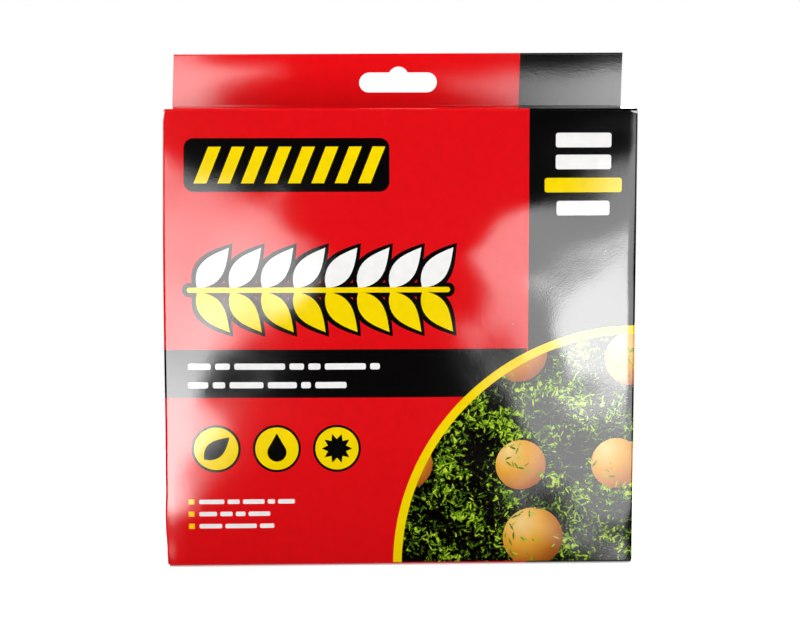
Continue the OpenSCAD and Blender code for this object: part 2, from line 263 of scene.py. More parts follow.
def laminated_print(name, ink=None):
    """Ink on coated board under a gloss laminate film; without an ink, the picture of fruit."""
    carton = bpy.context.scene.boxed_trap_carton
    material, add, place = new_material(name)
    if ink:
        colour = linear(ink)
    else:
        colour = orchard_print(add, add("ShaderNodeAttribute", attribute_name="blank").outputs["Vector"])
    # Uneven ink, a few per cent lighter and darker over some millimetres
    mottle = add("ShaderNodeTexNoise", {"Vector": place, "Scale": 1 / (4.167 * MM), "Detail": 4.0})
    level = add("ShaderNodeMapRange", {
        "Value": mottle, "From Min": 0.3, "From Max": 0.7, "To Min": 0.96, "To Max": 1.03})
    inked = add("ShaderNodeMix", {
        "Factor": 1.0, 6: colour, 7: level}, data_type="RGBA", blend_type="MULTIPLY")
    # Folds and cut edges where the film has cracked and the board's fibres show
    wear = add("ShaderNodeAttribute", attribute_name="wear").outputs["Fac"]
    chips = add("ShaderNodeTexNoise", {
        "Vector": place, "Scale": 1 / (3.03 * MM), "Detail": 5.0, "Roughness": 0.65})
    bare = add("ShaderNodeMath", {0: wear, 1: chips}, operation="MULTIPLY")
    worn = add("ShaderNodeMapRange", {"Value": bare, "From Min": 0.56, "From Max": 0.62})
    # Sparse pinpoint scuffs, half a millimetre across
    spots = add("ShaderNodeTexVoronoi", {"Vector": place, "Scale": 1 / (7.692 * MM)})
    near = add("ShaderNodeMath", {0: spots.outputs["Distance"], 1: 0.035}, operation="LESS_THAN")
    rare = add("ShaderNodeSeparateColor", {0: spots.outputs["Color"]})
    few = add("ShaderNodeMath", {0: rare.outputs[0], 1: 0.05}, operation="LESS_THAN")
    speck = add("ShaderNodeMath", {0: near, 1: few}, operation="MULTIPLY")
    bared = add("ShaderNodeMath", {0: worn, 1: speck}, operation="MAXIMUM")
    seen = add("ShaderNodeMix", {"Factor": bared, 6: inked, 7: linear(carton.core)}, data_type="RGBA")
    # Fibres that print through the film, drawn coarser than they are so that they show
    fibres = add("ShaderNodeTexNoise", {
        "Vector": place, "Scale": 1 / (0.6667 * MM), "Detail": 2.0, "Roughness": 0.6})
    fine = add("ShaderNodeBump", {"Height": fibres, "Strength": 1.0, "Distance": 0.009 * MM})
    # The film's slow unevenness
    slow = add("ShaderNodeTexNoise", {"Vector": place, "Scale": 1 / (9.091 * MM), "Detail": 2.0})
    uneven = add("ShaderNodeBump", {
        "Height": slow, "Strength": 1.0, "Distance": 0.012 * MM, "Normal": fine})
    shader = add("ShaderNodeBsdfPrincipled", {
        "Base Color": seen, "Roughness": 0.55, "Specular IOR Level": 0.0, "Normal": uneven,
        "Coat Weight": 1.0, "Coat Roughness": 0.07, "Coat IOR": 1.6, "Coat Normal": uneven})
    add("ShaderNodeOutputMaterial", {"Surface": shader})
    return material


def fibre_sheet(name, code, fleck, rough, grain):
    """Uncoated paper or board: matt, with fibres and flecks of the given grain, in metres."""
    material, add, place = new_material(name)
    fibres = add("ShaderNodeTexNoise", {
        "Vector": place, "Scale": 1 / grain, "Detail": 6.0, "Roughness": 0.7})
    clouds = add("ShaderNodeTexNoise", {"Vector": place, "Scale": 0.08 / grain, "Detail": 3.0})
    share = add("ShaderNodeMath", {0: fibres, 1: clouds}, operation="MULTIPLY")
    tone = add("ShaderNodeMapRange", {"Value": share, "From Min": 0.1, "From Max": 0.42})
    colour = add("ShaderNodeMix", {"Factor": tone, 6: linear(fleck), 7: linear(code)}, data_type="RGBA")
    bump = add("ShaderNodeBump", {"Height": fibres, "Strength": 0.6, "Distance": 0.05 * MM})
    shader = add("ShaderNodeBsdfPrincipled", {
        "Base Color": colour, "Roughness": rough, "Specular IOR Level": 0.3, "Normal": bump})
    add("ShaderNodeOutputMaterial", {"Surface": shader})
    return material


def moulded_plastic(name, code):
    """Polypropylene moulding: a soft sheen, a spark-eroded grain and slight flow marks."""
    material, add, place = new_material(name)
    flow = add("ShaderNodeTexNoise", {
        "Vector": place, "Scale": 1 / (22.22 * MM), "Detail": 3.0, "Distortion": 1.2})
    level = add("ShaderNodeMapRange", {
        "Value": flow, "From Min": 0.3, "From Max": 0.7, "To Min": 0.9, "To Max": 1.08})
    colour = add("ShaderNodeMix", {
        "Factor": 1.0, 6: linear(code), 7: level}, data_type="RGBA", blend_type="MULTIPLY")
    # The grain is drawn coarser than it is, so that it shows
    grain = add("ShaderNodeTexNoise", {"Vector": place, "Scale": 1 / (0.3846 * MM), "Detail": 2.0})
    bump = add("ShaderNodeBump", {"Height": grain, "Strength": 0.5, "Distance": 0.02 * MM})
    rough = add("ShaderNodeMapRange", {"Value": flow, "To Min": 0.3, "To Max": 0.45})
    shader = add("ShaderNodeBsdfPrincipled", {
        "Base Color": colour, "Roughness": rough, "Normal": bump, "Subsurface Weight": 0.15,
        "Subsurface Radius": (1.5 * MM, 1.0 * MM, 0.5 * MM), "Subsurface Scale": 1.0})
    add("ShaderNodeOutputMaterial", {"Surface": shader})
    return material


def clear_film(name, code):
    """Polyethylene film: mostly clear, milky in its creases, with a wrinkled sheen."""
    material, add, place = new_material(name)
    # Wrinkles drawn out along the bag, a few millimetres apart
    drawn = add("ShaderNodeVectorMath", {0: place, 1: (1.0, 1.0, 0.22)}, operation="MULTIPLY")
    folds = add("ShaderNodeTexNoise", {
        "Vector": drawn, "Scale": 1 / (7.692 * MM), "Detail": 2.0, "Distortion": 0.2})
    bump = add("ShaderNodeBump", {"Height": folds, "Strength": 0.8, "Distance": 1.2 * MM})
    milk = add("ShaderNodeMapRange", {
        "Value": folds, "From Min": 0.4, "From Max": 0.7, "To Min": 0.12, "To Max": 0.3})
    shader = add("ShaderNodeBsdfPrincipled", {
        "Base Color": linear(code), "Roughness": 0.18, "Normal": bump, "Alpha": milk, "IOR": 1.5})
    add("ShaderNodeOutputMaterial", {"Surface": shader})
    return material


def spun_fibre(name, code):
    """Twisted cotton: matt, with fine hairs along the strands."""
    material, add, place = new_material(name)
    # The hairs are drawn coarser than they are, so that they show
    hairs = add("ShaderNodeTexNoise", {"Vector": place, "Scale": 1 / (0.2381 * MM), "Detail": 4.0})
    level = add("ShaderNodeMapRange", {
        "Value": hairs, "From Min": 0.3, "From Max": 0.7, "To Min": 0.7, "To Max": 1.05})
    colour = add("ShaderNodeMix", {
        "Factor": 1.0, 6: linear(code), 7: level}, data_type="RGBA", blend_type="MULTIPLY")
    bump = add("ShaderNodeBump", {"Height": hairs, "Strength": 0.8, "Distance": 0.06 * MM})
    shader = add("ShaderNodeBsdfPrincipled", {
        "Base Color": colour, "Roughness": 0.85, "Specular IOR Level": 0.2, "Normal": bump})
    add("ShaderNodeOutputMaterial", {"Surface": shader})
    return material


# Flat outlines, counter-clockwise

def arc(x, z, radius, start, end, count):
    """Points of an arc from one angle to another, both ends included."""
    turned = [start + (end - start) * i / count for i in range(count + 1)]
    return [(x + radius * math.cos(a), z + radius * math.sin(a)) for a in turned]


def bar(x, z, width, height, radius=0.0):
    """Rectangle about a middle point, with round corners where it has a radius."""
    w, h = width / 2 - radius, height / 2 - radius
    corners = [(w, h), (-w, h), (-w, -h), (w, -h)]
    if not radius:
        return [(x + cx, z + cz) for cx, cz in corners[2:] + corners[:2]]
    return [point for k, (cx, cz) in enumerate(corners)
            for point in arc(x + cx, z + cz, radius, k * QUARTER, (k + 1) * QUARTER, 6)]


def disc(x, z, radius, count=48):
    """Circle of straight sides."""
    return arc(x, z, radius, 0, ROUND, count)[:-1]


def leaf(x, z, length, width, angle, count=12):
    """Pointed leaf that starts at a point and runs out at an angle."""
    shares = [i / count for i in range(count + 1)]
    high = [(length * s, width / 2 * math.sin(math.pi * s ** 0.8)) for s in shares]
    low = [(a, -b) for a, b in high]
    c, s = math.cos(angle), math.sin(angle)
    return [(x + c * a - s * b, z + s * a + c * b) for a, b in low[:-1] + high[:0:-1]]


def drop(x, z, radius, count=24):
    """Drop with its point up."""
    return arc(x, z, radius, math.radians(-220), math.radians(40), count) + [(x, z + 2.0 * radius)]


def sun(x, z, radius, rays=10):
    """Star of short rays."""
    reaches = [radius, 0.62 * radius] * rays
    return [(x + reach * math.cos(math.pi * i / rays), z + reach * math.sin(math.pi * i / rays))
            for i, reach in enumerate(reaches)]


def slanted(x, z, width, height, lean):
    """Upright parallelogram that leans to the right."""
    w, h = width / 2, height / 2
    return [(x - w, z - h), (x + w, z - h), (x + w + lean, z + h), (x - w + lean, z + h)]


# Folded board

def fold_path(start, heading, steps, outside=1):
    """Side view of a folded face: its length, and points and outward normals at given distances.

    Each step is a run and the angle that it turns by; outside is 1 where the outer face is to the
    left of the way and -1 where it is to the right.
    """
    runs, at, angle, total = [], np.array(start, float), heading, 0.0
    for length, turn in steps:
        runs.append((total, at, angle, length, turn))
        if turn:
            radius = length / turn
            centre = at + radius * np.array([-math.sin(angle), math.cos(angle)])
            angle += turn
            at = centre + radius * np.array([math.sin(angle), -math.cos(angle)])
        else:
            at = at + length * np.array([math.cos(angle), math.sin(angle)])
        total += length

    def follow(distance):
        distance = np.asarray(distance, float)
        points, normals = np.zeros((len(distance), 2)), np.zeros((len(distance), 2))
        begins = np.array([run[0] for run in runs])
        step = np.clip(np.searchsorted(begins, distance, "right") - 1, 0, len(runs) - 1)
        for k, (begin, origin, angle, length, turn) in enumerate(runs):
            here = step == k
            gone = distance[here] - begin
            way = angle + turn * gone / length
            if turn:
                radius = length / turn
                centre = origin + radius * np.array([-math.sin(angle), math.cos(angle)])
                points[here] = centre + radius * np.stack([np.sin(way), -np.cos(way)], 1)
            else:
                points[here] = origin + gone[:, None] * np.array([math.cos(angle), math.sin(angle)])
            normals[here] = outside * np.stack([-np.sin(way), np.cos(way)], 1)
        return points, normals

    return total, follow


def marks(stops, spacing):
    """Values from each stop to the next, no further apart than the spacing."""
    found = [stops[0]]
    for a, b in zip(stops, stops[1:]):
        count = max(1, math.ceil((b - a) / spacing - 1e-6))
        found += [a + (b - a) * i / count for i in range(1, count + 1)]
    return found


def bend_marks(steps, spacing, parts=6):
    """Distances along a fold path: bends in equal parts, straight runs by the spacing."""
    found, total = [0.0], 0.0
    for length, turn in steps:
        found += marks([total, total + length], length / parts if turn else spacing)[1:]
        total += length
    return found


def counter_clockwise(outline):
    """The outline, turned round where it runs clockwise."""
    area = sum(a[0] * b[1] - b[0] * a[1] for a, b in zip(outline, outline[1:] + outline[:1]))
    return list(outline) if area > 0 else list(outline)[::-1]


def split_at(outline, columns, rows):
    """The outline with a point wherever it crosses a column or row, so that it follows the folds."""
    found = []
    for a, b in zip(outline, outline[1:] + outline[:1]):
        shares = {0.0}
        for axis, lines in enumerate((columns, rows)):
            if abs(b[axis] - a[axis]) > 1e-7:
                shares |= {(line - a[axis]) / (b[axis] - a[axis]) for line in lines}
        found += [(a[0] + (b[0] - a[0]) * k, a[1] + (b[1] - a[1]) * k)
                  for k in sorted(shares) if 0 <= k < 1]
    return found


def cut_sheet(outline, columns, rows, prints=(), holes=()):
    """Triangles of a flat cut sheet: points, triangles, and the last print over each, or -1."""
    outlines = [outline, *holes, *(shape for shape, _ in prints)]
    points, faces = [], []
    for shape in (split_at(counter_clockwise(s), columns, rows) for s in outlines):
        faces.append(list(range(len(points), len(points) + len(shape))))
        points += shape
    points += [(u, v) for u in columns for v in rows]
    made, _, triangles, _, _, sources = delaunay_2d_cdt(
        [Vector(p) / MM for p in points], [], faces, 0, 1e-4, True)
    first = 1 + len(holes)
    kept, inks = [], []
    for triangle, source in zip(triangles, sources):
        if 0 in source and not any(0 < k < first for k in source):
            kept.append(triangle)
            inks.append(max(source) - first if max(source) >= first else -1)
    used = sorted({i for t in kept for i in t})
    place = {old: new for new, old in enumerate(used)}
    flat = np.array([made[i][:] for i in used]) * MM
    return flat, np.array([[place[i] for i in t] for t in kept]), np.array(inks)


def closed_sheet(triangles, outer, inner):
    """A sheet between two faces: points, faces, and each face's kind (0 outer, 1 inner, 2 cut edge)."""
    count = len(outer)
    a, b, c = (outer[triangles[:, k]] for k in range(3))
    facing = np.einsum("ij,ij->i", np.cross(b - a, c - a), (outer - inner)[triangles[:, 0]]).sum()
    tris = triangles if facing > 0 else triangles[:, ::-1]
    edges = {}
    for t in tris.tolist():
        for i, j in zip(t, t[1:] + t[:1]):
            if (j, i) in edges:
                del edges[(j, i)]
            else:
                edges[(i, j)] = True
    rims = [[j, i, i + count, j + count] for i, j in edges]
    faces = tris.tolist() + (tris[:, ::-1] + count).tolist() + rims
    kinds = [0] * len(tris) + [1] * len(tris) + [2] * len(rims)
    return np.concatenate([outer, inner]), faces, kinds


def linked_object(name, data):
    """A new object of a mesh, a lamp or a camera, in the scene."""
    obj = bpy.data.objects.new(name, data)
    bpy.context.scene.collection.objects.link(obj)
    return obj


def mesh_object(name, points, faces, materials, indices=None, smooth_angle=35, **attributes):
    """An object at the origin with smooth faces, sharp where they meet at more than the angle."""
    mesh = bpy.data.meshes.new(name)
    mesh.from_pydata([tuple(p) for p in points], [], faces)
    for material in materials:
        mesh.materials.append(material)
    if indices is not None:
        mesh.polygons.foreach_set("material_index", np.array(indices, np.int32))
    for key, values in attributes.items():
        values = np.asarray(values, np.float32)
        kind, field = ("FLOAT_VECTOR", "vector") if values.ndim == 2 else ("FLOAT", "value")
        mesh.attributes.new(key, kind, "POINT").data.foreach_set(field, values.ravel())
    mesh.update()
    mesh.shade_smooth()
    mesh.set_sharp_from_angle(angle=math.radians(smooth_angle))
    return linked_object(name, mesh)


INKS = ("red", "black", "yellow", "white", "leaves")


def board_materials():
    """Carton board: the printed faces in the order of INKS, then the inner face and the cut edge."""
    carton = bpy.context.scene.boxed_trap_carton
    # Glossy print, red, black, yellow and white, and the picture that has no ink of its own
    made = [material_once(f"gloss laminated print {ink}", laminated_print, getattr(carton, ink, None))
            for ink in INKS]
    # Matt grey uncoated back of folding boxboard, and its paler cut edge
    back = material_once("folding boxboard back", fibre_sheet, carton.core, "#a59d8e", 0.85, 0.5 * MM)
    edge = material_once("folding boxboard cut edge", fibre_sheet, "#dcd8cf", "#b7b0a2", 0.9, 0.3 * MM)
    return made + [back, edge]


def board_piece(name, outline, columns, rows, place, prints=(), holes=(), creases=((), ()), nicks=()):
    """A printed, cut and folded piece of carton board.

    place turns flat points into points and normals of the printed face. Prints are outlines with
    their inks, the later over the earlier, on a red ground. Creases are the columns and rows where
    the print wears, and nicks are flat points with a size where it has come off.
    """
    flat, triangles, print_at = cut_sheet(outline, columns, rows, prints, holes)
    outer, normals = place(flat[:, 0], flat[:, 1])
    points, faces, kinds = closed_sheet(triangles, outer, outer - Carton().board * normals)
    inks = [INKS.index(ink) for _, ink in prints] + [0]
    indices = [inks[k] for k in print_at] + [len(INKS) - 1 + kind for kind in kinds[len(print_at):]]
    near = np.full(len(flat), 1.0)
    for axis, lines in enumerate(creases):
        for line in lines:
            near = np.minimum(near, np.abs(flat[:, axis] - line))
    wear = 0.9 * np.exp(-near / (0.8 * MM))
    for u, v, size in nicks:
        away = (flat[:, 0] - u) ** 2 + (flat[:, 1] - v) ** 2
        wear = np.maximum(wear, 2.2 * np.exp(-away / size ** 2))
    blank = np.column_stack([flat, np.zeros(len(flat))])
    piece = mesh_object(name, points, faces, board_materials(), indices,
                        blank=np.concatenate([blank, blank]), wear=np.concatenate([wear, wear]))
    return piece


class Carton:
    """Sizes of the carton, read from the boxes of its CAD pieces, in metres."""

    def __init__(self):
        low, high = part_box("front_panel")
        self.right, self.front, self.height = high.x, low.y, high.z
        self.width, self.board = high.x - low.x, high.y - low.y
        self.half = self.width / 2
        self.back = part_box("back_panel")[1].y
        self.depth = self.back - self.front
        self.tab_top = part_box("tab_rear_ply")[1].z
        tongue_low, tongue_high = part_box("top_tongue")
        self.tongue, self.tongue_end, self.tongue_half = tongue_high.y, tongue_low.z, tongue_high.x
        self.dust_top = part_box("top_left_dust_flap")[1].z
        self.settings = bpy.context.scene.boxed_trap_carton

    def column(self, low, high, right=None):
        """The black column's print, on a piece whose flat x is the carton's x."""
        left, right = self.settings.column_from, (right or self.right) + MM
        return [(left, low - MM), (right, low - MM), (right, high + MM), (left, high + MM)], "black"

    def at_end(self, end, points, normals):
        """Points and normals at the carton's top, or their mirror image at its bottom."""
        if end == "bottom":
            points[:, 2], normals[:, 2] = self.height - points[:, 2], -normals[:, 2]
        return points, normals

    def crease(self, end, *points):
        """Points of a crease at the carton's top, or their mirror image at its bottom."""
        return [(x, y, self.height - z if end == "bottom" else z) for x, y, z in points]


def waves(x, z, height):
    """Slow unevenness of board, as a sum of a few long waves."""
    total = np.zeros(len(x))
    # Each wave's length in millimetres, its direction, its phase and its share of the height
    for length, angle, phase, share in (
            (83, 0.4, 0.3, 1.0), (61, 1.9, 2.1, 0.8), (47, 2.7, 4.4, 0.6), (38, 0.9, 1.2, 0.45),
            (29, 1.4, 5.3, 0.3), (22, 2.2, 0.8, 0.14), (14, 0.7, 3.1, 0.03)):
        along = x * math.cos(angle) + z * math.sin(angle)
        total += share * np.sin(ROUND * along / (length * MM) + phase)
    return height * total


# Print, drawn in millimetres

def in_metres(prints):
    """The same outlines in metres, with their inks."""
    return [([(x * MM, z * MM) for x, z in outline], ink) for outline, ink in prints]


def dashes(x, z, height, widths, ink):
    """A row of round-ended dashes from x on."""
    prints = []
    for width in widths:
        prints.append((bar(x + width / 2, z, width, height, 0.3 * height), ink))
        x += width + 0.7 * height
    return prints


def roundel(x, z, radius, rim, icon):
    """A yellow disc with a black rim and a black icon."""
    return [(disc(x, z, radius), "black"), (disc(x, z, radius - rim), "yellow"), (icon, "black")]


def sprig():
    """White leaves above a yellow stalk and yellow ones below it, all outlined in black."""
    x, z, spacing, count = -84, 116.5, 13.2, 8
    length, width, angle, outline = 21, 9.5, math.radians(52), 2.0
    leaves = [(x + spacing * k, z + side, side * angle, ink)
              for k in range(count) for side, ink in ((1, "white"), (-1, "yellow"))]
    prints = [(leaf(x - outline * math.cos(turn), z - outline * math.sin(turn),
                    length + 2.2 * outline, width + 2 * outline, turn), "black")
              for x, z, turn, _ in leaves]
    prints.append((bar(-34, z, 112, 6, 2.9), "black"))
    prints += [(leaf(x, z, length, width, turn), ink) for x, z, turn, ink in leaves]
    prints.append((bar(-34, z, 108, 2.2, 1), "yellow"))
    return prints


def front_prints(half, column_from):
    """The design of the carton's front, in the carton's x and z: outlines and inks."""
    half, column_from = half / MM, column_from / MM
    # Plain band across the front and round the left edge
    prints = [(bar(-98, 81.6, 300, 20.2), "black")]
    # Picture about the lower right corner, with a yellow border, round the right edge
    picture, border = 97.4, 3.6
    prints += [(disc(half, 0, picture + border, 160), "yellow"), (disc(half, 0, picture, 160), "leaves")]
    # Striped ribbon
    ribbon = 168
    prints.append((bar(-47, ribbon, 84, 22, 4), "black"))
    prints += [(slanted(-82.5 + 9.6 * k, ribbon, 5.2, 15, 6), "yellow") for k in range(8)]
    prints += sprig()
    # Dashes on the band, and broad bars in the column
    prints += dashes(-88, 84.6, 2.6, (9, 6, 21, 6, 5, 17, 4), "white")
    prints += dashes(-88, 76.8, 2.6, (8, 5, 14, 12, 4, 13), "white")
    for z, width, ink in ((178, 23, "white"), (169, 23, "white"), (159.5, 32, "yellow"), (150, 22, "white")):
        prints.append((bar((column_from + half) / 2, z, width, 6, 1), ink))
    # Three roundels with a leaf, a drop and a sun, and rows of dashes below them
    icons = (leaf(-82, 45.5, 14, 7, math.radians(42)), drop(-52, 48.5, 4), sun(-27, 50, 6.4))
    for x, icon in zip((-77, -52, -27), icons):
        prints += roundel(x, 50, 10, 1, icon)
    for k, widths in enumerate(((10, 5, 9, 3, 7), (7, 5, 4, 9), (9, 13, 6))):
        z = 27.5 - 5.2 * k
        prints.append((bar(-87, z, 2.2, 2.2), "yellow"))
        prints += dashes(-84, z, 1.9, widths, "white")
    return in_metres(prints)


def back_prints(middle):
    """The design of the carton's back about its middle: a pale panel with three roundels and lines."""
    middle = middle / MM
    prints = [(bar(middle, 92, 150, 140, 5), "yellow"), (bar(middle, 92, 145, 135, 4), "white")]
    left, right = middle - 46, middle + 46
    icons = (leaf(left - 8, 126, 22, 11, math.radians(42)), drop(middle, 130, 6.5), sun(right, 133, 10))
    for x, icon in zip((left, middle, right), icons):
        prints += roundel(x, 133, 16, 1.5, icon)
    # Lines from the same left end, in three groups
    widest = 128
    for k, width in enumerate((128, 128, 118, 0, 128, 124, 128, 96, 0, 110)):
        if width:
            prints.append((bar(middle - (widest - width) / 2, 104 - 8 * k, width, 2.6, 0.6), "black"))
    return in_metres(prints)


def bell(distance, reach):
    """A smooth hump that falls away over the reach."""
    return np.exp(-(distance / reach) ** 2)


def make_sleeve():
    """The carton's four walls and its glue flap, folded from one printed strip."""
    carton = Carton()
    settings, top, half = carton.settings, carton.height, carton.half
    r, grid = settings.fold_radius, settings.grid
    gap, seam, glue_slant = 0.05 * MM, 0.5 * MM, 6 * MM
    glue_low, glue_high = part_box("glue_flap")
    bend = (r * QUARTER, -QUARTER)
    steps = [(carton.depth - seam - r, 0), bend, (carton.width - 2 * r, 0), bend, (carton.depth - 2 * r, 0),
             bend, (carton.width - carton.board - gap - 2 * r, 0), bend, (glue_high.y - glue_low.y - r, 0)]
    _, follow = fold_path((carton.right, carton.back - seam), -QUARTER, steps)
    ends = np.cumsum([0.0] + [length for length, _ in steps])
    middle = (ends[2] + ends[3]) / 2
    # Flat x runs to the right as the printed face is seen, from 0 in the middle of the front
    edges = [middle - e for e in ends]
    rear_middle = (edges[6] + edges[7]) / 2

    # The lower edge, past the glue flap and the rear, left, front and right walls, and the upper one back
    side_low = top - carton.dust_top + settings.dust_radius
    outline = [(edges[9], glue_low.z + glue_slant), (edges[8], glue_low.z)]
    upper = [(edges[9], glue_high.z - glue_slant), (edges[8], glue_high.z)]
    for last, first, low in ((8, 6, 0), (6, 4, side_low), (4, 1, r), (1, 0, side_low)):
        outline += [(edges[last], low), (edges[first], low)]
        upper += [(edges[last], top - low), (edges[first], top - low)]
    outline += upper[::-1]
    outline = [p for k, p in enumerate(outline) if p != outline[k - 1]]

    def place(u, v):
        flat, across = follow(middle - u)
        points = np.column_stack([flat, v])
        normals = np.column_stack([across, np.zeros(len(v))])
        # The front bows out over what is packed behind it, and the left and rear walls half as far
        bow = 1 - np.clip(2 * v / top - 1, -1, 1) ** 2
        x = np.clip(u / half, -1, 1)
        y = np.clip((u + half + carton.depth / 2) / (carton.depth / 2), -1, 1)
        b = np.clip((u - rear_middle) / half, -1, 1)
        front, rear = np.abs(u) <= half, np.abs(u - rear_middle) < half
        left = (u > edges[6]) & (u < -half)
        out = np.where(front, settings.bulge * (1 - x * x) * bow, 0)
        out = out + np.where(left, 0.5 * settings.bulge * (1 - y * y) * bow, 0)
        out = out + np.where(rear, 0.5 * settings.bulge * (1 - b * b) * bow, 0)
        # Slow waves, which the folds at the top, the bottom and the sides hold flat
        hold = np.clip(np.minimum(v, top - v) / (16 * MM), 0, 1)
        hold = hold * hold * (3 - 2 * hold)
        fade = np.where(rear, np.sqrt(np.clip(1 - b * b, 0, 1)), 0)
        fade = np.where(front, np.sqrt(1 - 0.75 * x * x), fade)
        out = out + hold * fade * waves(u, v, settings.wave)
        points += out[:, None] * normals
        # The left upright edge bows out, most near the foot, and is dented there
        near = bell(u + half, 15 * MM)
        push = settings.edge_bulge * bow * near
        push += 1.0 * MM * bell(v - 20 * MM, 24 * MM) * near
        for at, depth, reach in ((31.7 * MM, 0.3 * MM, 6 * MM), (9.2 * MM, 0.2 * MM, 3 * MM)):
            push -= depth * bell(v - at, reach) * bell(u + half, 4 * MM)
        # Its top corner is crushed
        crushed = np.clip((v - (top - 4 * MM)) / (4 * MM), 0, 1)
        push -= 0.9 * MM * crushed * bell(u + half, 1.5 * MM)
        points[:, 0] -= push
        return points, normals

    columns = [middle - s for s in bend_marks(steps, grid)]
    # Close rows next to the folds at the top and the bottom
    close = [0.5 * MM, 1.5 * MM, 4 * MM]
    stops = [r, *(r + e for e in close), *(top - r - e for e in close[::-1]), top - r]
    rows = marks(stops, grid) + [0.0, top]
    column = half - settings.column_from
    prints = [carton.column(0, top, edges[0])] + front_prints(half, settings.column_from)
    prints.append((bar(rear_middle - half + column / 2, top / 2, column, top + 2 * MM), "black"))
    prints += back_prints(rear_middle)
    folds = [(edges[k] + edges[k + 1]) / 2 for k in (1, 3, 5, 7)]
    nick = (half - 0.8 * MM, top - r, 1.3 * MM)
    sleeve = board_piece("carton_sleeve", outline, columns, rows, place, prints,
                         creases=(folds, (r, top - r)), nicks=(nick,))
    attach(sleeve, "carton")
    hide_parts("front_panel", "left_panel", "right_panel", "back_panel", "glue_flap")


# Display slot of the hang tab, round-ended with a round bump on top
SLOT_WIDTH, SLOT_HEIGHT, SLOT_FROM_TOP = 33.7 * MM, 8.5 * MM, 8.1 * MM
BUMP_WIDTH, BUMP_HEIGHT = 8 * MM, 2.5 * MM


def slot_outline():
    """Outline of the slot about the middle of its round-ended part."""
    w, h = SLOT_WIDTH / 2, SLOT_HEIGHT / 2
    radius = ((BUMP_WIDTH / 2) ** 2 + BUMP_HEIGHT ** 2) / (2 * BUMP_HEIGHT)
    reach = math.asin(BUMP_WIDTH / 2 / radius)
    return (arc(h - w, 0, h, QUARTER, 3 * QUARTER, 12) + arc(w - h, 0, h, -QUARTER, QUARTER, 12)
            + arc(0, h + BUMP_HEIGHT - radius, radius, QUARTER - reach, QUARTER + reach, 12))


def make_tab():
    """The hang tab: the back wall's extension, folded over to two plies and slotted."""
    carton = Carton()
    settings = carton.settings
    r, grid = settings.ply_radius, 2 * MM
    low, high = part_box("tab_front_ply")
    half, inner = high.x, carton.tongue_half
    rise, run = carton.tab_top - carton.height, carton.height - low.z
    steps = [(rise - r, 0), (r * math.pi, math.pi), (rise - r + run, 0)]
    total, follow = fold_path((carton.back, carton.height), QUARTER, steps, outside=-1)
    fold, foot = rise - r + r * QUARTER, total - run
    outline = [(-half, 0), (half, 0), (half, foot), (inner, foot),
               (inner, total), (-inner, total), (-inner, foot), (-half, foot)]
    rear_slot = [(x, rise - SLOT_FROM_TOP - SLOT_HEIGHT / 2 + z) for x, z in slot_outline()]
    front_slot = [(x, 2 * fold - v) for x, v in rear_slot]

    def place(u, v):
        flat, across = follow(v)
        points = np.column_stack([u, flat])
        normals = np.column_stack([np.zeros(len(u)), across])
        lean = np.clip((points[:, 2] - carton.height) / rise, 0, 1)
        # Both plies sway together, least at the foot, and lean back, most at the foot
        sway = waves(u, 0.3 * points[:, 2], 0.5 * settings.wave) * lean
        points[:, 1] += rise * (0.12 * lean - 0.04 * lean ** 2) + sway
        # The tab leans to the right, and its right end stands a little higher
        points[:, 0] += 0.8 * MM * lean
        points[:, 2] += (0.2 + 0.45 * u / half) * MM * lean
        return points, normals

    columns = marks([-half, -half + 4 * MM, -17 * MM, 17 * MM, half - 4 * MM, half], grid)
    # Close rows keep the shading of the fold and of the foot's crease narrow
    rows = bend_marks(steps, grid) + [fold + side * (r * QUARTER + 0.2 * MM) for side in (-1, 1)]
    rows += [foot - 0.3 * MM, foot + 0.3 * MM]
    tab = board_piece("hang_tab", outline, columns, rows, place, [carton.column(0, total)],
                      [rear_slot, front_slot], creases=((), (fold,)))
    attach(tab, "carton")
    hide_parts("tab_rear_ply", "tab_front_ply")


def across_place(carton, end, follow, sag=0.0):
    """Placing of a piece at the carton's top or bottom that is folded about x, with a sag in its middle."""
    r = carton.settings.fold_radius

    def place(u, v):
        flat, across = follow(v)
        points = np.column_stack([u, flat])
        normals = np.column_stack([np.zeros(len(u)), across])
        along = np.clip((points[:, 1] - carton.front - r) / (carton.tongue - carton.front - 2 * r), 0, 1)
        points[:, 2] -= sag * np.sin(math.pi * along) * (1 - (u / carton.half) ** 2)
        return carton.at_end(end, points, normals)

    return place


def make_panel(carton, end, sag, left_clip):
    """A closure panel, which bends from the front wall over the carton's end."""
    r, grid, top, half = carton.settings.fold_radius, carton.settings.grid, carton.height, carton.half
    steps = [(r * QUARTER, -QUARTER), (carton.tongue - carton.front - 2 * r, 0)]
    total, follow = fold_path((carton.front, top - r), QUARTER, steps)
    clip = half - 0.1 * MM
    outline = [(-clip + left_clip, 0), (clip - 0.3 * MM, 0), (clip - 0.1 * MM, 3 * MM),
               (clip, total), (-clip, total), (-clip + 0.1 * MM, 4 * MM)]
    panel = board_piece(f"{end}_closure", outline, marks([-half, half], grid), bend_marks(steps, grid),
                        across_place(carton, end, follow, sag), [carton.column(0, total)],
                        creases=((), (r * QUARTER / 2,)))
    crease = carton.crease(end, (0, carton.front, top - r), (0, carton.front + r, top))
    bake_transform(panel)
    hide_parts(f"{end}_panel")


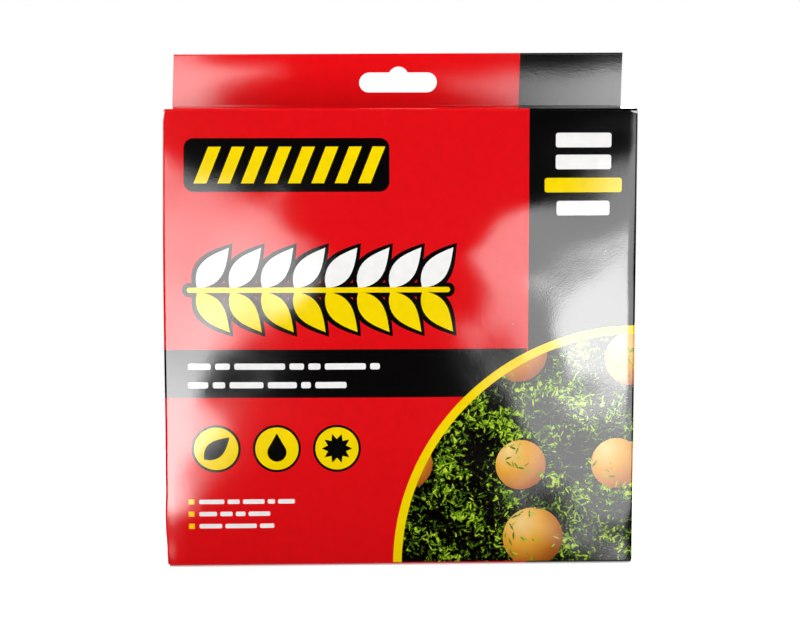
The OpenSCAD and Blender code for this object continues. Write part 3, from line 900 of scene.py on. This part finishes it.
def make_tongue(carton, end):
    """A tuck tongue, which bends from its closure panel into the carton, with round corners."""
    r, grid, top, half = carton.settings.fold_radius, carton.settings.grid, carton.height, carton.tongue_half
    steps = [(r * QUARTER, -QUARTER), (top - carton.tongue_end - r, 0)]
    total, follow = fold_path((carton.tongue - r, top), 0.0, steps)
    corner = 9 * MM
    outline = [(-half, 0), (half, 0)] + arc(half - corner, total - corner, corner, 0, QUARTER, 8)
    outline += arc(corner - half, total - corner, corner, QUARTER, 2 * QUARTER, 8)
    tongue = board_piece(f"{end}_tuck_tongue", outline, marks([-half, half], grid), bend_marks(steps, grid),
                         across_place(carton, end, follow), [carton.column(0, total)])
    crease = carton.crease(end, (0, carton.tongue - r, top), (0, carton.tongue, top - r))
    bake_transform(tongue)
    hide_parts(f"{end}_tongue")


def make_dust_flap(carton, end, side, sign):
    """A dust flap, which bends from its side wall over the carton's end."""
    node = f"{end}_{side}_dust_flap"
    low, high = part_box(node)
    bend, grid, top, half = carton.settings.dust_radius, carton.settings.grid, carton.dust_top, carton.half
    reach = half - min(abs(low.x), abs(high.x))
    steps = [(bend * QUARTER, QUARTER), (reach - bend, 0)]
    total, follow = fold_path((half, top - bend), QUARTER, steps, outside=-1)

    def place(u, v):
        flat, across = follow(v)
        points = np.column_stack([sign * flat[:, 0], u, flat[:, 1]])
        normals = np.column_stack([sign * across[:, 0], np.zeros(len(u)), across[:, 1]])
        return carton.at_end(end, points, normals)

    slant, clip = 4 * MM, 3 * MM
    outline = [(low.y, 0), (high.y, 0), (high.y - slant, total - clip), (high.y - slant - clip, total),
               (low.y + slant + clip, total), (low.y + slant, total - clip)]
    flap = board_piece(f"{node}_board", outline, marks([low.y, high.y], grid), bend_marks(steps, grid), place,
                       creases=((), (bend * QUARTER / 2,)))
    crease = carton.crease(end, (sign * half, 0, top - bend), (sign * (half - bend), 0, top))
    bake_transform(flap)
    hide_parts(node)


def make_closures():
    """The top and bottom closures, their tuck tongues and the four dust flaps, each bent at its crease."""
    carton = Carton()
    # The top panel sags more than the one that the carton stands on, and its left corner is clipped
    for end, sag, left_clip in (("top", 0.35 * MM, 0.8 * MM), ("bottom", 0.1 * MM, 0.1 * MM)):
        make_panel(carton, end, sag, left_clip)
        make_tongue(carton, end)
        for side, sign in (("left", -1), ("right", 1)):
            make_dust_flap(carton, end, side, sign)


# Trap

RING_LIP = 2 * MM  # height of the lid's rim over its deck


def trap_place(x, y, z):
    """Places in the part's frame, from how far right, up and out they are of the lid's deck."""
    low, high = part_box("lid_ring")
    return np.column_stack([x, low.y + RING_LIP - np.asarray(z), (low.z + high.z) / 2 + np.asarray(y)])


def trap_height(y):
    """How far a place of the part's frame stands out of the lid's deck."""
    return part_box("lid_ring")[0].y + RING_LIP - y


def bake_modifier(obj):
    """Turns what an object's modifiers make into its plain mesh."""
    bpy.context.view_layer.update()
    made = bpy.data.meshes.new_from_object(obj.evaluated_get(bpy.context.evaluated_depsgraph_get()))
    obj.modifiers.clear()
    obj.data = made


def softened(name, node, material, radius):
    """A copy of a CAD node with clean faces and rounded edges, in a moulded material."""
    shape = bmesh.new()
    shape.from_mesh(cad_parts[node].data)
    bmesh.ops.remove_doubles(shape, verts=shape.verts, dist=1e-3 * MM)
    bmesh.ops.dissolve_limit(shape, angle_limit=math.radians(0.5), verts=shape.verts, edges=shape.edges)
    mesh = bpy.data.meshes.new(name)
    shape.to_mesh(mesh)
    shape.free()
    mesh.materials.clear()
    mesh.materials.append(material)
    mesh.polygons.foreach_set("material_index", np.zeros(len(mesh.polygons), np.int32))
    obj = linked_object(name, mesh)
    bevel = obj.modifiers.new("round edges", "BEVEL")
    bevel.width, bevel.segments = radius, 3
    bevel.limit_method, bevel.angle_limit = "ANGLE", math.radians(40)
    bake_modifier(obj)
    # Large flat faces keep their own normal, and round ones are smooth
    made, large = obj.data, 100 * MM * MM
    made.shade_smooth()
    made.set_sharp_from_angle(angle=math.radians(35))
    made.polygons.foreach_set(
        "use_smooth", [len(face.vertices) <= 4 and face.area < large for face in made.polygons])
    made.update()
    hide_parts(node)
    return obj


def run_nodes(name, tree, values, points=()):
    """A plain mesh object of what a node group makes from a line of points, with named input values."""
    mesh = bpy.data.meshes.new(name)
    mesh.from_pydata([tuple(p) for p in points], [(k, k + 1) for k in range(len(points) - 1)], [])
    obj = linked_object(name, mesh)
    modifier = obj.modifiers.new(tree.name, "NODES")
    modifier.node_group = tree
    for item in tree.interface.items_tree:
        if item.in_out == "INPUT" and item.name in values:
            modifier[item.identifier] = values[item.name]
    bake_modifier(obj)
    return obj


def node_group(name, inputs):
    """An empty Geometry Nodes group with named inputs, what adds a node to it, and its inputs."""
    tree = bpy.data.node_groups.new(name, "GeometryNodeTree")
    tree.interface.new_socket("Geometry", in_out="INPUT", socket_type="NodeSocketGeometry")
    for label, kind in inputs.items():
        tree.interface.new_socket(label, in_out="INPUT", socket_type=f"NodeSocket{kind}")
    tree.interface.new_socket("Geometry", in_out="OUTPUT", socket_type="NodeSocketGeometry")
    add = partial(add_node, tree)
    return tree, add, add("NodeGroupInput").outputs


def rib_nodes():
    """Bars that stand round a circle, each turned outwards."""
    tree, add, given = node_group("grip ribs", {
        "Count": "Int", "Radius": "Float", "Size": "Vector", "Place": "Vector", "Turn": "Vector",
        "Material": "Material"})
    circle = add("GeometryNodeMeshCircle", {"Vertices": given["Count"], "Radius": given["Radius"]})
    block = add("GeometryNodeMeshCube", {"Size": given["Size"]})
    place = add("GeometryNodeInputPosition")
    outward = add("FunctionNodeAlignRotationToVector", {"Vector": place}, axis="X")
    ribs = add("GeometryNodeInstanceOnPoints", {"Points": circle, "Instance": block, "Rotation": outward})
    placed = add("GeometryNodeTransform", {
        "Geometry": ribs, "Translation": given["Place"], "Rotation": given["Turn"]})
    plain = add("GeometryNodeRealizeInstances", {"Geometry": placed})
    coloured = add("GeometryNodeSetMaterial", {"Geometry": plain, "Material": given["Material"]})
    add("NodeGroupOutput", {0: coloured})
    return tree


def cord_nodes():
    """Twisted strands along a line of points."""
    tree, add, given = node_group("twisted cord", {
        "Diameter": "Float", "Pitch": "Float", "Step": "Float", "Strands": "Int", "Material": "Material"})
    line = add("GeometryNodeMeshToCurve", {"Mesh": given["Geometry"]})
    even = add("GeometryNodeResampleCurve", {"Curve": line, "Length": given["Step"]}, mode="LENGTH")
    run = add("GeometryNodeSplineParameter").outputs["Length"]
    turns = add("ShaderNodeMath", {0: run, 1: given["Pitch"]}, operation="DIVIDE")
    tilt = add("ShaderNodeMath", {0: turns, 1: ROUND}, operation="MULTIPLY")
    twisted = add("GeometryNodeSetCurveTilt", {"Curve": even, "Tilt": tilt})
    # Shares of the diameter at which three strands press into each other and fill it
    offset = add("ShaderNodeMath", {0: given["Diameter"], 1: 0.232}, operation="MULTIPLY")
    radius = add("ShaderNodeMath", {0: given["Diameter"], 1: 0.262}, operation="MULTIPLY")
    middles = add("GeometryNodeMeshCircle", {"Vertices": given["Strands"], "Radius": offset})
    strand = add("GeometryNodeCurvePrimitiveCircle", {"Resolution": 8, "Radius": radius})
    profile = add("GeometryNodeInstanceOnPoints", {"Points": middles, "Instance": strand})
    outline = add("GeometryNodeRealizeInstances", {"Geometry": profile})
    tube = add("GeometryNodeCurveToMesh", {"Curve": twisted, "Profile Curve": outline, "Fill Caps": True})
    plain = add("GeometryNodeRealizeInstances", {"Geometry": tube})
    coloured = add("GeometryNodeSetMaterial", {"Geometry": plain, "Material": given["Material"]})
    add("NodeGroupOutput", {0: coloured})
    return tree


def make_lid():
    """The lid ring with its grip ribs, and the ring that clamps the bag in it."""
    parts = bpy.context.scene.boxed_trap_parts
    # Warm yellow moulding with a soft sheen
    yellow = material_once("yellow polypropylene", moulded_plastic, parts.yellow)
    for node in ("lid_ring", "bag_clamp_ring"):
        piece = softened(f"moulded_{node}", node, yellow, parts.soften)
        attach(piece, "trap")
    low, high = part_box("lid_ring")
    radius, depth = (high.x - low.x) / 2, high.y - low.y
    stands_out, bare_ends = 0.15 * MM, 5 * MM
    ribs = run_nodes("lid_grip_ribs", rib_nodes(), {
        "Count": parts.ribs, "Radius": radius + stands_out,
        "Size": (0.9 * MM, 2.2 * MM, depth - bare_ends),
        "Place": trap_place([0], [0], [RING_LIP - depth / 2])[0], "Turn": (QUARTER, 0, 0),
        "Material": yellow})
    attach(ribs, "trap")


def make_cap():
    """The cap's base with its collar, its plate and its posts."""
    parts = bpy.context.scene.boxed_trap_parts
    # Deep red moulding with a soft sheen
    red = material_once("red polypropylene", moulded_plastic, parts.red)
    for node, body in (("cap_base", "trap"), ("cap_plate", "cap"), ("cap_posts", "cap")):
        piece = softened(f"moulded_{node}", node, red, parts.soften)
        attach(piece, body)


def ring_sheet(profile, count):
    """Angles, profile rows and triangles of a sheet that runs right round an axis."""
    rows = len(profile)
    index = np.arange(count * rows).reshape(count, rows)
    following = np.roll(index, -1, 0)
    a, b, c, d = index[:, :-1], following[:, :-1], following[:, 1:], index[:, 1:]
    triangles = np.concatenate([np.stack(t, -1).reshape(-1, 3) for t in ((a, b, c), (a, c, d))])
    angle = np.repeat(np.arange(count) * ROUND / count, rows)
    return angle, np.tile(np.array(profile), (count, 1)), triangles


def film_ring(profile, count, pleats, depth, thickness):
    """A gathered film round the trap's axis.

    Its profile is rows of a radius, a height and how far the film stands upright there, from 0 to 1.
    """
    angle, along, triangles = ring_sheet(profile, count)
    radius, height, upright = along.T
    ripple = np.sin(pleats * angle) + 0.5 * np.sin(2.7 * pleats * angle + 0.4 * height / MM)
    faces = []
    for shift in (thickness / 2, -thickness / 2):
        moved = depth * ripple + shift
        r, h = radius + moved * upright, height + moved * (1 - upright)
        faces.append(trap_place(r * np.cos(angle), r * np.sin(angle), h))
    return closed_sheet(triangles, *faces)


def film_layer(reach, height, layer, grid, holes, thickness):
    """One layer of the folded bag, a wavy round sheet with an uneven edge."""
    turned = np.linspace(0, ROUND, 150, endpoint=False)
    edge = reach + 1.0 * MM * np.sin(5 * turned + 1.7 * layer) + 0.4 * MM * np.sin(11 * turned + layer)
    outline = list(zip(edge * np.cos(turned), edge * np.sin(turned)))
    flat, triangles, _ = cut_sheet(outline, grid, grid, holes=holes)
    x, y = flat[:, 0], flat[:, 1]
    rise = height + waves(x, y, 0.07 * MM) + waves(y + layer * 31 * MM, x, 0.02 * MM)
    faces = [trap_place(x, y, rise + side * thickness / 2) for side in (1, -1)]
    return closed_sheet(triangles, *faces)


def film_piece(name, sheets, node):
    """A piece of clear film from closed sheets, in place of a CAD node."""
    # Clear polyethylene, milky where it is creased
    film = material_once("clear polyethylene film", clear_film, bpy.context.scene.boxed_trap_parts.film)
    points, faces, start = [], [], 0
    for some, more, _ in sheets:
        points.append(some)
        faces += [[i + start for i in face] for face in more]
        start += len(some)
    piece = mesh_object(name, np.concatenate(points), faces, [film], smooth_angle=60)
    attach(piece, "trap")
    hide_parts(node)


def make_film():
    """The film of the trap: the sleeve gathered in the entry, and the bag folded behind the lid."""
    thickness = bpy.context.scene.boxed_trap_parts.film_thickness
    low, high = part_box("entry_sleeve")
    radius, length, parts = (high.x - low.x) / 2 - 0.75 * MM, high.y - low.y, 14
    profile = [(radius, -length * k / parts, 1.0) for k in range(parts + 1)]
    film_piece("gathered_entry_sleeve", [film_ring(profile, 240, 30, 0.4 * MM, thickness)], "entry_sleeve")

    # The bag's mouth: a flat rim, a round corner and a cuff in the lid's skirt
    low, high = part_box("bag")
    ring_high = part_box("lid_ring")[1]
    cuff = (high.x - low.x) / 2 - 0.2 * MM
    web = trap_height(ring_high.y) - 0.5 * MM
    cuff_end, back = trap_height(low.y), trap_height(high.y)
    bundle = ring_high.x - 17 * MM
    corner = 1.2 * MM
    rim_from = bundle - 6 * MM
    profile = [(rim_from + k * (cuff - corner - rim_from) / 8, web, 0.0) for k in range(8)]
    profile += [(cuff - corner * (1 - math.sin(k * QUARTER / 5)),
                 web + corner * (1 - math.cos(k * QUARTER / 5)), k / 5) for k in range(6)]
    profile += [(cuff, web + corner + k * (cuff_end - web - corner - 0.1 * MM) / 4, 1.0) for k in range(1, 5)]
    sheets = [film_ring(profile, 288, 48, 0.07 * MM, thickness)]

    # The folded layers, the outer ones with a pocket for the sachet
    sachet_low, sachet_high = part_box("bait_sachet")
    pocket_front, room = trap_height(sachet_low.y) + 0.4 * MM, 1.6 * MM
    pocket = bar(0, 0, sachet_high.x - sachet_low.x + room, sachet_high.z - sachet_low.z + room, 3 * MM)
    grid = marks([-bundle, bundle], 4.5 * MM)
    inner, outer = 6, 4
    for layer in range(inner + outer):
        if layer < inner:
            height = web - 0.4 * MM + (pocket_front - web + 0.6 * MM) * (layer + 0.5) / inner
        else:
            height = pocket_front + (back - pocket_front) * (layer - inner + 0.5) / outer
        holes = [] if layer < inner else [pocket]
        sheets.append(film_layer(bundle - 1.2 * MM, height, layer, grid, holes, thickness))
    film_piece("folded_film_bag", sheets, "bag")


def make_sachet():
    """The bait sachet: a filled paper pillow with a crimped seal at each end."""
    parts = bpy.context.scene.boxed_trap_parts
    low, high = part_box("bait_sachet")
    width, length, full = high.x - low.x, high.z - low.z, high.y - low.y
    seal, side_seal, edge, grid = 7 * MM, 2 * MM, 0.14 * MM, 2.2 * MM
    crimp_pitch, crimp_height, crimp_grid = 1.5 * MM, 0.13 * MM, 0.3 * MM
    stops = [-length / 2, -length / 2 + seal, length / 2 - seal, length / 2]
    rows = marks(stops[:2], crimp_grid) + marks(stops[1:3], grid)[1:] + marks(stops[2:], crimp_grid)[1:]
    columns = marks([-width / 2, -width / 2 + side_seal, width / 2 - side_seal, width / 2], grid)
    flat, triangles, _ = cut_sheet(bar(0, 0, width, length), columns, rows)
    x, y = flat[:, 0], flat[:, 1]
    across = np.clip(np.abs(2 * x / width), 0, 1)
    along = np.clip(np.abs(2 * y / (length - 2 * seal)), 0, 1)
    filled = ((1 - across ** 2) * (1 - along ** 2)) ** 0.42
    puckers = 1 + 0.10 * np.sin(x / (1.7 * MM)) * along ** 3 + 0.05 * np.sin(y / (4.1 * MM) + x / (6 * MM))
    half = edge + (full / 2 - 0.35 * MM) * filled * puckers
    ridge = np.where(np.abs(y) > length / 2 - seal, crimp_height * np.sin(ROUND * y / crimp_pitch), 0)
    middle = trap_height((low.y + high.y) / 2)
    points, faces, _ = closed_sheet(
        triangles, *(trap_place(x, y, middle + ridge + side * half) for side in (1, -1)))
    # Matt tan paper, uncoated
    paper = material_once("kraft sachet paper", fibre_sheet, parts.sachet, "#a58a5f", 0.75, 0.7 * MM)
    sachet = mesh_object("filled_bait_sachet", points, faces, [paper], smooth_angle=50)
    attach(sachet, "trap")
    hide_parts("bait_sachet")


CORD_DIAMETER = 1.6 * MM


def eased(share):
    """A share from 0 to 1 that starts and stops gently."""
    share = np.clip(share, 0, 1)
    return share ** 2 * (3 - 2 * share)


def cord_route(count):
    """The hanging cord's route round the cap, one and a half turns from knot to knot, in metres."""
    laid, sway, crossing, whole = 70.015 * MM, 4 * MM, 2.2 * MM, 540
    turned = np.linspace(0, whole, count)
    radius = laid + sway * np.cos(ROUND * turned / whole)
    # It climbs over its own first turn, and comes down again to its end
    lift = eased((turned - 180) / 180) - eased((turned - 480) / 60)
    angle = np.radians(180 + turned)
    return trap_place(radius * np.cos(angle), radius * np.sin(angle), CORD_DIAMETER + crossing * lift)


def make_cord():
    """The twisted hanging cord, and the knots that hold its ends."""
    parts = bpy.context.scene.boxed_trap_parts
    # Matt off-white cotton
    fibre = material_once("twisted cotton cord", spun_fibre, parts.cord)
    tree = cord_nodes()
    route = cord_route(217)
    cord = run_nodes("twisted_hang_cord", tree, {
        "Diameter": CORD_DIAMETER, "Pitch": parts.cord_pitch, "Step": 0.8 * MM, "Strands": 3,
        "Material": fibre}, route)
    # Each knot is a short coil of the cord, pulled tight
    low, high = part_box("cord_knots")
    tight, wound, turns = 1.1 * MM, 0.72 * MM, 4.4
    reach = (high.x - low.x - 2.6 * MM) / 2
    both = bmesh.new()
    for side in (-1, 1):
        turned = np.linspace(0, ROUND * turns, 100)
        x = side * reach + wound * np.cos(turned)
        y = tight / 2 + (high.z - low.z - tight) * turned / turned[-1]
        knot = run_nodes("cord_knot", tree, {
            "Diameter": tight, "Pitch": 2.5 * MM, "Step": 0.35 * MM, "Strands": 3, "Material": fibre},
            trap_place(x, y, CORD_DIAMETER + wound * np.sin(turned)))
        both.from_mesh(knot.data)
        bpy.data.objects.remove(knot)
    mesh = bpy.data.meshes.new("wrapped_cord_knots")
    both.to_mesh(mesh)
    both.free()
    mesh.materials.append(fibre)
    wrapped = linked_object("wrapped_cord_knots", mesh)
    for piece, node in ((cord, "hang_cord"), (wrapped, "cord_knots")):
        piece.data.shade_smooth()
        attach(piece, "trap")
        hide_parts(node)


def make_leaflet():
    """The folded leaflet: one strip of plain paper in four panels."""
    parts = bpy.context.scene.boxed_trap_parts
    low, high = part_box("leaflet")
    thickness, panels, gap, grid = 0.1 * MM, 4, 0.02 * MM, 5 * MM
    pitch = (high.y - low.y - 2 * gap - thickness) / (panels - 1)
    width = high.x - low.x - 2 * pitch
    # Alternate bends, the face outside one and inside the next
    steps = [(width, 0)]
    for k in range(panels - 1):
        steps += [(math.pi * pitch / 2, math.pi if k % 2 == 0 else -math.pi), (width, 0)]
    total, follow = fold_path((-width / 2, low.y + gap + thickness), 0.0, steps)
    outline = [(0, low.z), (total, low.z), (total, high.z), (0, high.z)]
    flat, triangles, _ = cut_sheet(outline, bend_marks(steps, grid), marks([low.z, high.z], grid))
    folded, across = follow(flat[:, 0])
    outer = np.column_stack([folded, flat[:, 1]])
    normals = np.column_stack([across, np.zeros(len(flat))])
    points, faces, _ = closed_sheet(triangles, outer, outer - thickness * normals)
    # Matt white printing paper, uncoated
    paper = material_once("leaflet paper", fibre_sheet, parts.paper, "#d5d1c6", 0.8, 0.4 * MM)
    leaflet = mesh_object("folded_leaflet", points, faces, [paper], smooth_angle=40)
    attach(leaflet, "carton")
    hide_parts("leaflet")


# Stage

CARD_PLANE = -0.82  # y of the cards beside the camera


def aimed(obj, place, target):
    """Puts a lamp or a camera in its place and turns it to a target."""
    obj.location = place
    obj.rotation_euler = (Vector(target) - Vector(place)).to_track_quat("-Z", "Y").to_euler()


def area_lamp(name, place, target, width, height, power, roll=0.0, mirrored=True):
    """A rectangular lamp that the camera doesn't see, aimed at a target."""
    light = bpy.data.lights.new(name, "AREA")
    light.shape, light.size, light.size_y, light.energy = "RECTANGLE", width, height, power
    lamp = linked_object(name, light)
    aimed(lamp, place, target)
    lamp.rotation_euler.rotate_axis("Z", roll)
    lamp.visible_camera, lamp.visible_glossy = False, mirrored


def mirrored_only(obj):
    """Makes a thing of the stage that only mirror reflections see."""
    obj.visible_camera = obj.visible_diffuse = obj.visible_shadow = obj.visible_transmission = False


def glare_card(name, outline, axis, start, end):
    """A flat card of lit cloth beside the camera.

    Its brightness runs along one axis from the place and strength of start to those of end.
    """
    # Diffusion cloth, lit from behind: an even white glow that fades along the card
    material, add, place = new_material(f"lit diffusion cloth {name}")
    along = add("ShaderNodeSeparateXYZ", {0: place})
    strength = add("ShaderNodeMapRange", {
        "Value": along.outputs[axis], "From Min": start[0], "From Max": end[0],
        "To Min": start[1], "To Max": end[1]})
    shader = add("ShaderNodeEmission", {"Strength": strength})
    add("ShaderNodeOutputMaterial", {"Surface": shader})
    points = [(x, CARD_PLANE, z) for x, z in outline]
    mirrored_only(mesh_object(name, points, [list(range(len(points)))], [material]))


def make_camera(stage):
    """The camera, level with the hang tab and a little left of the middle."""
    data = bpy.data.cameras.new("camera")
    data.lens, data.sensor_width = stage.lens, 36.0
    camera = linked_object("camera", data)
    aimed(camera, stage.camera, Vector(stage.camera) + Vector(stage.aim))
    bpy.context.scene.camera = camera


def make_lamps(stage):
    """Softboxes beside the camera, a key above it, fill all round, and cards for the glare."""
    front, middle, roll = (0, -0.024, 0.095), (0, 0, 0.09), math.radians(17)
    area_lamp("softbox left", (-0.236, CARD_PLANE, 0.011), front, 0.25, 0.285, stage.softbox + stage.core,
              mirrored=False)
    area_lamp("softbox right", (0.269, CARD_PLANE, -0.022), front, 0.28, 0.33, stage.softbox, roll)
    area_lamp("softbox right core", (0.255, -0.81, -0.01), front, 0.11, 0.13, stage.core, roll)
    area_lamp("front key", (0, -0.75, 0.85), front, 0.5, 0.4, stage.key, mirrored=False)
    area_lamp("overhead", (0, -0.1, 1.3), (0, 0, 0), 1.2, 1.2, stage.overhead, mirrored=False)
    area_lamp("fill left", (-1.1, 0.2, 0.4), middle, 0.7, 0.7, stage.fill)
    area_lamp("fill right", (1.1, 0.2, 0.4), middle, 0.7, 0.7, stage.fill)
    area_lamp("fill rear", (0, 1.2, 0.4), middle, 0.9, 0.7, stage.fill)

    # The coat mirrors one card in the front, and two higher ones in the tab, which leans back
    glare_card("front card", (
        (-0.36, 0.143), (-0.062, 0.111), (-0.157, -0.031), (-0.157, -0.073), (-0.170, -0.092),
        (-0.190, -0.155), (-0.190, -0.178), (-0.36, -0.178)), "Z", (0.12, 3.9), (-0.09, 12.8))
    glare_card("left tab card", (
        (-0.22, 0.283), (-0.157, 0.291), (-0.135, 0.302), (-0.105, 0.303), (-0.066, 0.300), (-0.103, 0.319),
        (-0.122, 0.332), (-0.127, 0.346), (-0.132, 0.360), (-0.136, 0.387), (-0.22, 0.387)),
        "Z", (0.28, 4.6), (0.33, 6.4))
    glare_card("right tab card", (
        (0.045, 0.327), (0.130, 0.327), (0.170, 0.320), (0.224, 0.308), (0.27, 0.297), (0.27, 0.387),
        (0.134, 0.387), (0.130, 0.372), (0.115, 0.357), (0.093, 0.343)), "X", (0.11, 2.3), (0.23, 7.6))


def make_floor(stage):
    """A pale floor that keeps the carton's shadow and is lost in the white room."""
    # Matt white paper that glows a little, as on a light table
    material, add, _ = new_material("white paper floor")
    shader = add("ShaderNodeBsdfPrincipled", {
        "Base Color": linear("#f4f4f4"), "Roughness": 1.0, "Specular IOR Level": 0.0,
        "Emission Color": (1, 1, 1, 1), "Emission Strength": stage.floor_glow})
    add("ShaderNodeOutputMaterial", {"Surface": shader})
    turned = np.linspace(0, ROUND, 96, endpoint=False)
    points = [(0.32 * math.cos(a), 0.25 * math.sin(a), -0.5 * MM) for a in turned]
    floor = mesh_object("floor", points, [list(range(len(points)))], [material])
    floor.visible_glossy = floor.visible_diffuse = False


def make_tent():
    """A tent over the set, open below, which keeps the room's white out of the coat."""
    # Black cloth, nearly without light of its own
    material, add, _ = new_material("black cloth")
    shader = add("ShaderNodeBsdfDiffuse", {"Color": linear("#080808")})
    add("ShaderNodeOutputMaterial", {"Surface": shader})
    count = 48
    rim = disc(0, 0, 1.4, count)
    points = [(x, y, z) for z in (-1.5, 1.6) for x, y in rim]
    faces = [[k, k + count, (k + 1) % count + count, (k + 1) % count] for k in range(count)]
    mirrored_only(mesh_object("tent", points, faces + [list(range(count, 2 * count))], [material]))


def make_room(stage):
    """A room that is white to the eye and in mirrors, and gives a weaker light of its own."""
    world = bpy.data.worlds.new("white room")
    world.use_nodes = True
    world.node_tree.nodes.clear()
    add = partial(add_node, world.node_tree)
    rays = add("ShaderNodeLightPath").outputs
    seen = add("ShaderNodeMath", {0: rays["Is Camera Ray"], 1: rays["Is Glossy Ray"]}, operation="MAXIMUM")
    seen = add("ShaderNodeMath", {0: seen, 1: rays["Is Transmission Ray"]}, operation="MAXIMUM")
    strength = add("ShaderNodeMapRange", {"Value": seen, "To Min": stage.ambient, "To Max": 1.0})
    white = add("ShaderNodeBackground", {"Color": (1, 1, 1, 1), "Strength": strength})
    add("ShaderNodeOutputWorld", {"Surface": white})
    bpy.context.scene.world = world
    bpy.context.scene.view_settings.view_transform = "Standard"


def make_stage():
    """Camera, lamps, a pale floor, a black tent for the reflections and a white room."""
    stage = bpy.context.scene.boxed_trap_stage
    make_camera(stage)
    make_lamps(stage)
    make_floor(stage)
    make_tent()
    make_room(stage)


# Operators

class BOXEDTRAP_OT_sleeve(bpy.types.Operator):
    """Fold the carton's walls from one printed strip"""
    bl_idname = "boxed_trap.sleeve"
    bl_label = "Carton walls"

    def execute(self, context):
        make_sleeve()
        return {"FINISHED"}


class BOXEDTRAP_OT_tab(bpy.types.Operator):
    """Fold the slotted hang tab"""
    bl_idname = "boxed_trap.tab"
    bl_label = "Hang tab"

    def execute(self, context):
        make_tab()
        return {"FINISHED"}


class BOXEDTRAP_OT_closures(bpy.types.Operator):
    """Make the closures, tuck tongues and dust flaps, bent at their creases"""
    bl_idname = "boxed_trap.closures"
    bl_label = "Closures and flaps"

    def execute(self, context):
        make_closures()
        return {"FINISHED"}


class BOXEDTRAP_OT_lid(bpy.types.Operator):
    """Mould the lid ring, its grip ribs and the clamp ring"""
    bl_idname = "boxed_trap.lid"
    bl_label = "Lid and clamp ring"

    def execute(self, context):
        make_lid()
        return {"FINISHED"}


class BOXEDTRAP_OT_cap(bpy.types.Operator):
    """Mould the cap's base, plate and posts"""
    bl_idname = "boxed_trap.cap"
    bl_label = "Cap"

    def execute(self, context):
        make_cap()
        return {"FINISHED"}


class BOXEDTRAP_OT_film(bpy.types.Operator):
    """Gather the entry sleeve and fold the film bag"""
    bl_idname = "boxed_trap.film"
    bl_label = "Sleeve and bag"

    def execute(self, context):
        make_film()
        return {"FINISHED"}


class BOXEDTRAP_OT_sachet(bpy.types.Operator):
    """Fill and crimp the bait sachet"""
    bl_idname = "boxed_trap.sachet"
    bl_label = "Bait sachet"

    def execute(self, context):
        make_sachet()
        return {"FINISHED"}


class BOXEDTRAP_OT_cord(bpy.types.Operator):
    """Twist and lay the hanging cord, and knot its ends"""
    bl_idname = "boxed_trap.cord"
    bl_label = "Hanging cord"

    def execute(self, context):
        make_cord()
        return {"FINISHED"}


class BOXEDTRAP_OT_leaflet(bpy.types.Operator):
    """Fold the leaflet"""
    bl_idname = "boxed_trap.leaflet"
    bl_label = "Leaflet"

    def execute(self, context):
        make_leaflet()
        return {"FINISHED"}


class BOXEDTRAP_OT_stage(bpy.types.Operator):
    """Set up the camera, the lamps and the white room"""
    bl_idname = "boxed_trap.stage"
    bl_label = "Stage"

    def execute(self, context):
        make_stage()
        return {"FINISHED"}


OPERATORS = (
    BOXEDTRAP_OT_stage, BOXEDTRAP_OT_cord, BOXEDTRAP_OT_sleeve, BOXEDTRAP_OT_tab, BOXEDTRAP_OT_closures,
    BOXEDTRAP_OT_lid, BOXEDTRAP_OT_cap, BOXEDTRAP_OT_film, BOXEDTRAP_OT_sachet, BOXEDTRAP_OT_leaflet)


class BOXEDTRAP_PT_panel(bpy.types.Panel):
    """Lists the steps that build the boxed trap"""
    bl_idname = "BOXEDTRAP_PT_panel"
    bl_label = "Boxed trap"
    bl_space_type = "VIEW_3D"
    bl_region_type = "UI"
    bl_category = "Boxed trap"

    def draw(self, context):
        for operator in OPERATORS:
            self.layout.operator(operator.bl_idname)


CLASSES = (CartonSettings, TrapSettings, StageSettings, *OPERATORS, BOXEDTRAP_PT_panel)


def register():
    for cls in CLASSES:
        bpy.utils.register_class(cls)
    bpy.types.Scene.boxed_trap_carton = PointerProperty(type=CartonSettings)
    bpy.types.Scene.boxed_trap_parts = PointerProperty(type=TrapSettings)
    bpy.types.Scene.boxed_trap_stage = PointerProperty(type=StageSettings)


def unregister():
    del bpy.types.Scene.boxed_trap_stage
    del bpy.types.Scene.boxed_trap_parts
    del bpy.types.Scene.boxed_trap_carton
    for cls in reversed(CLASSES):
        bpy.utils.unregister_class(cls)


def main():
    register()
    for operator in OPERATORS:
        group, name = operator.bl_idname.split(".")
        getattr(getattr(bpy.ops, group), name)()


if __name__ == "__main__":
    main()
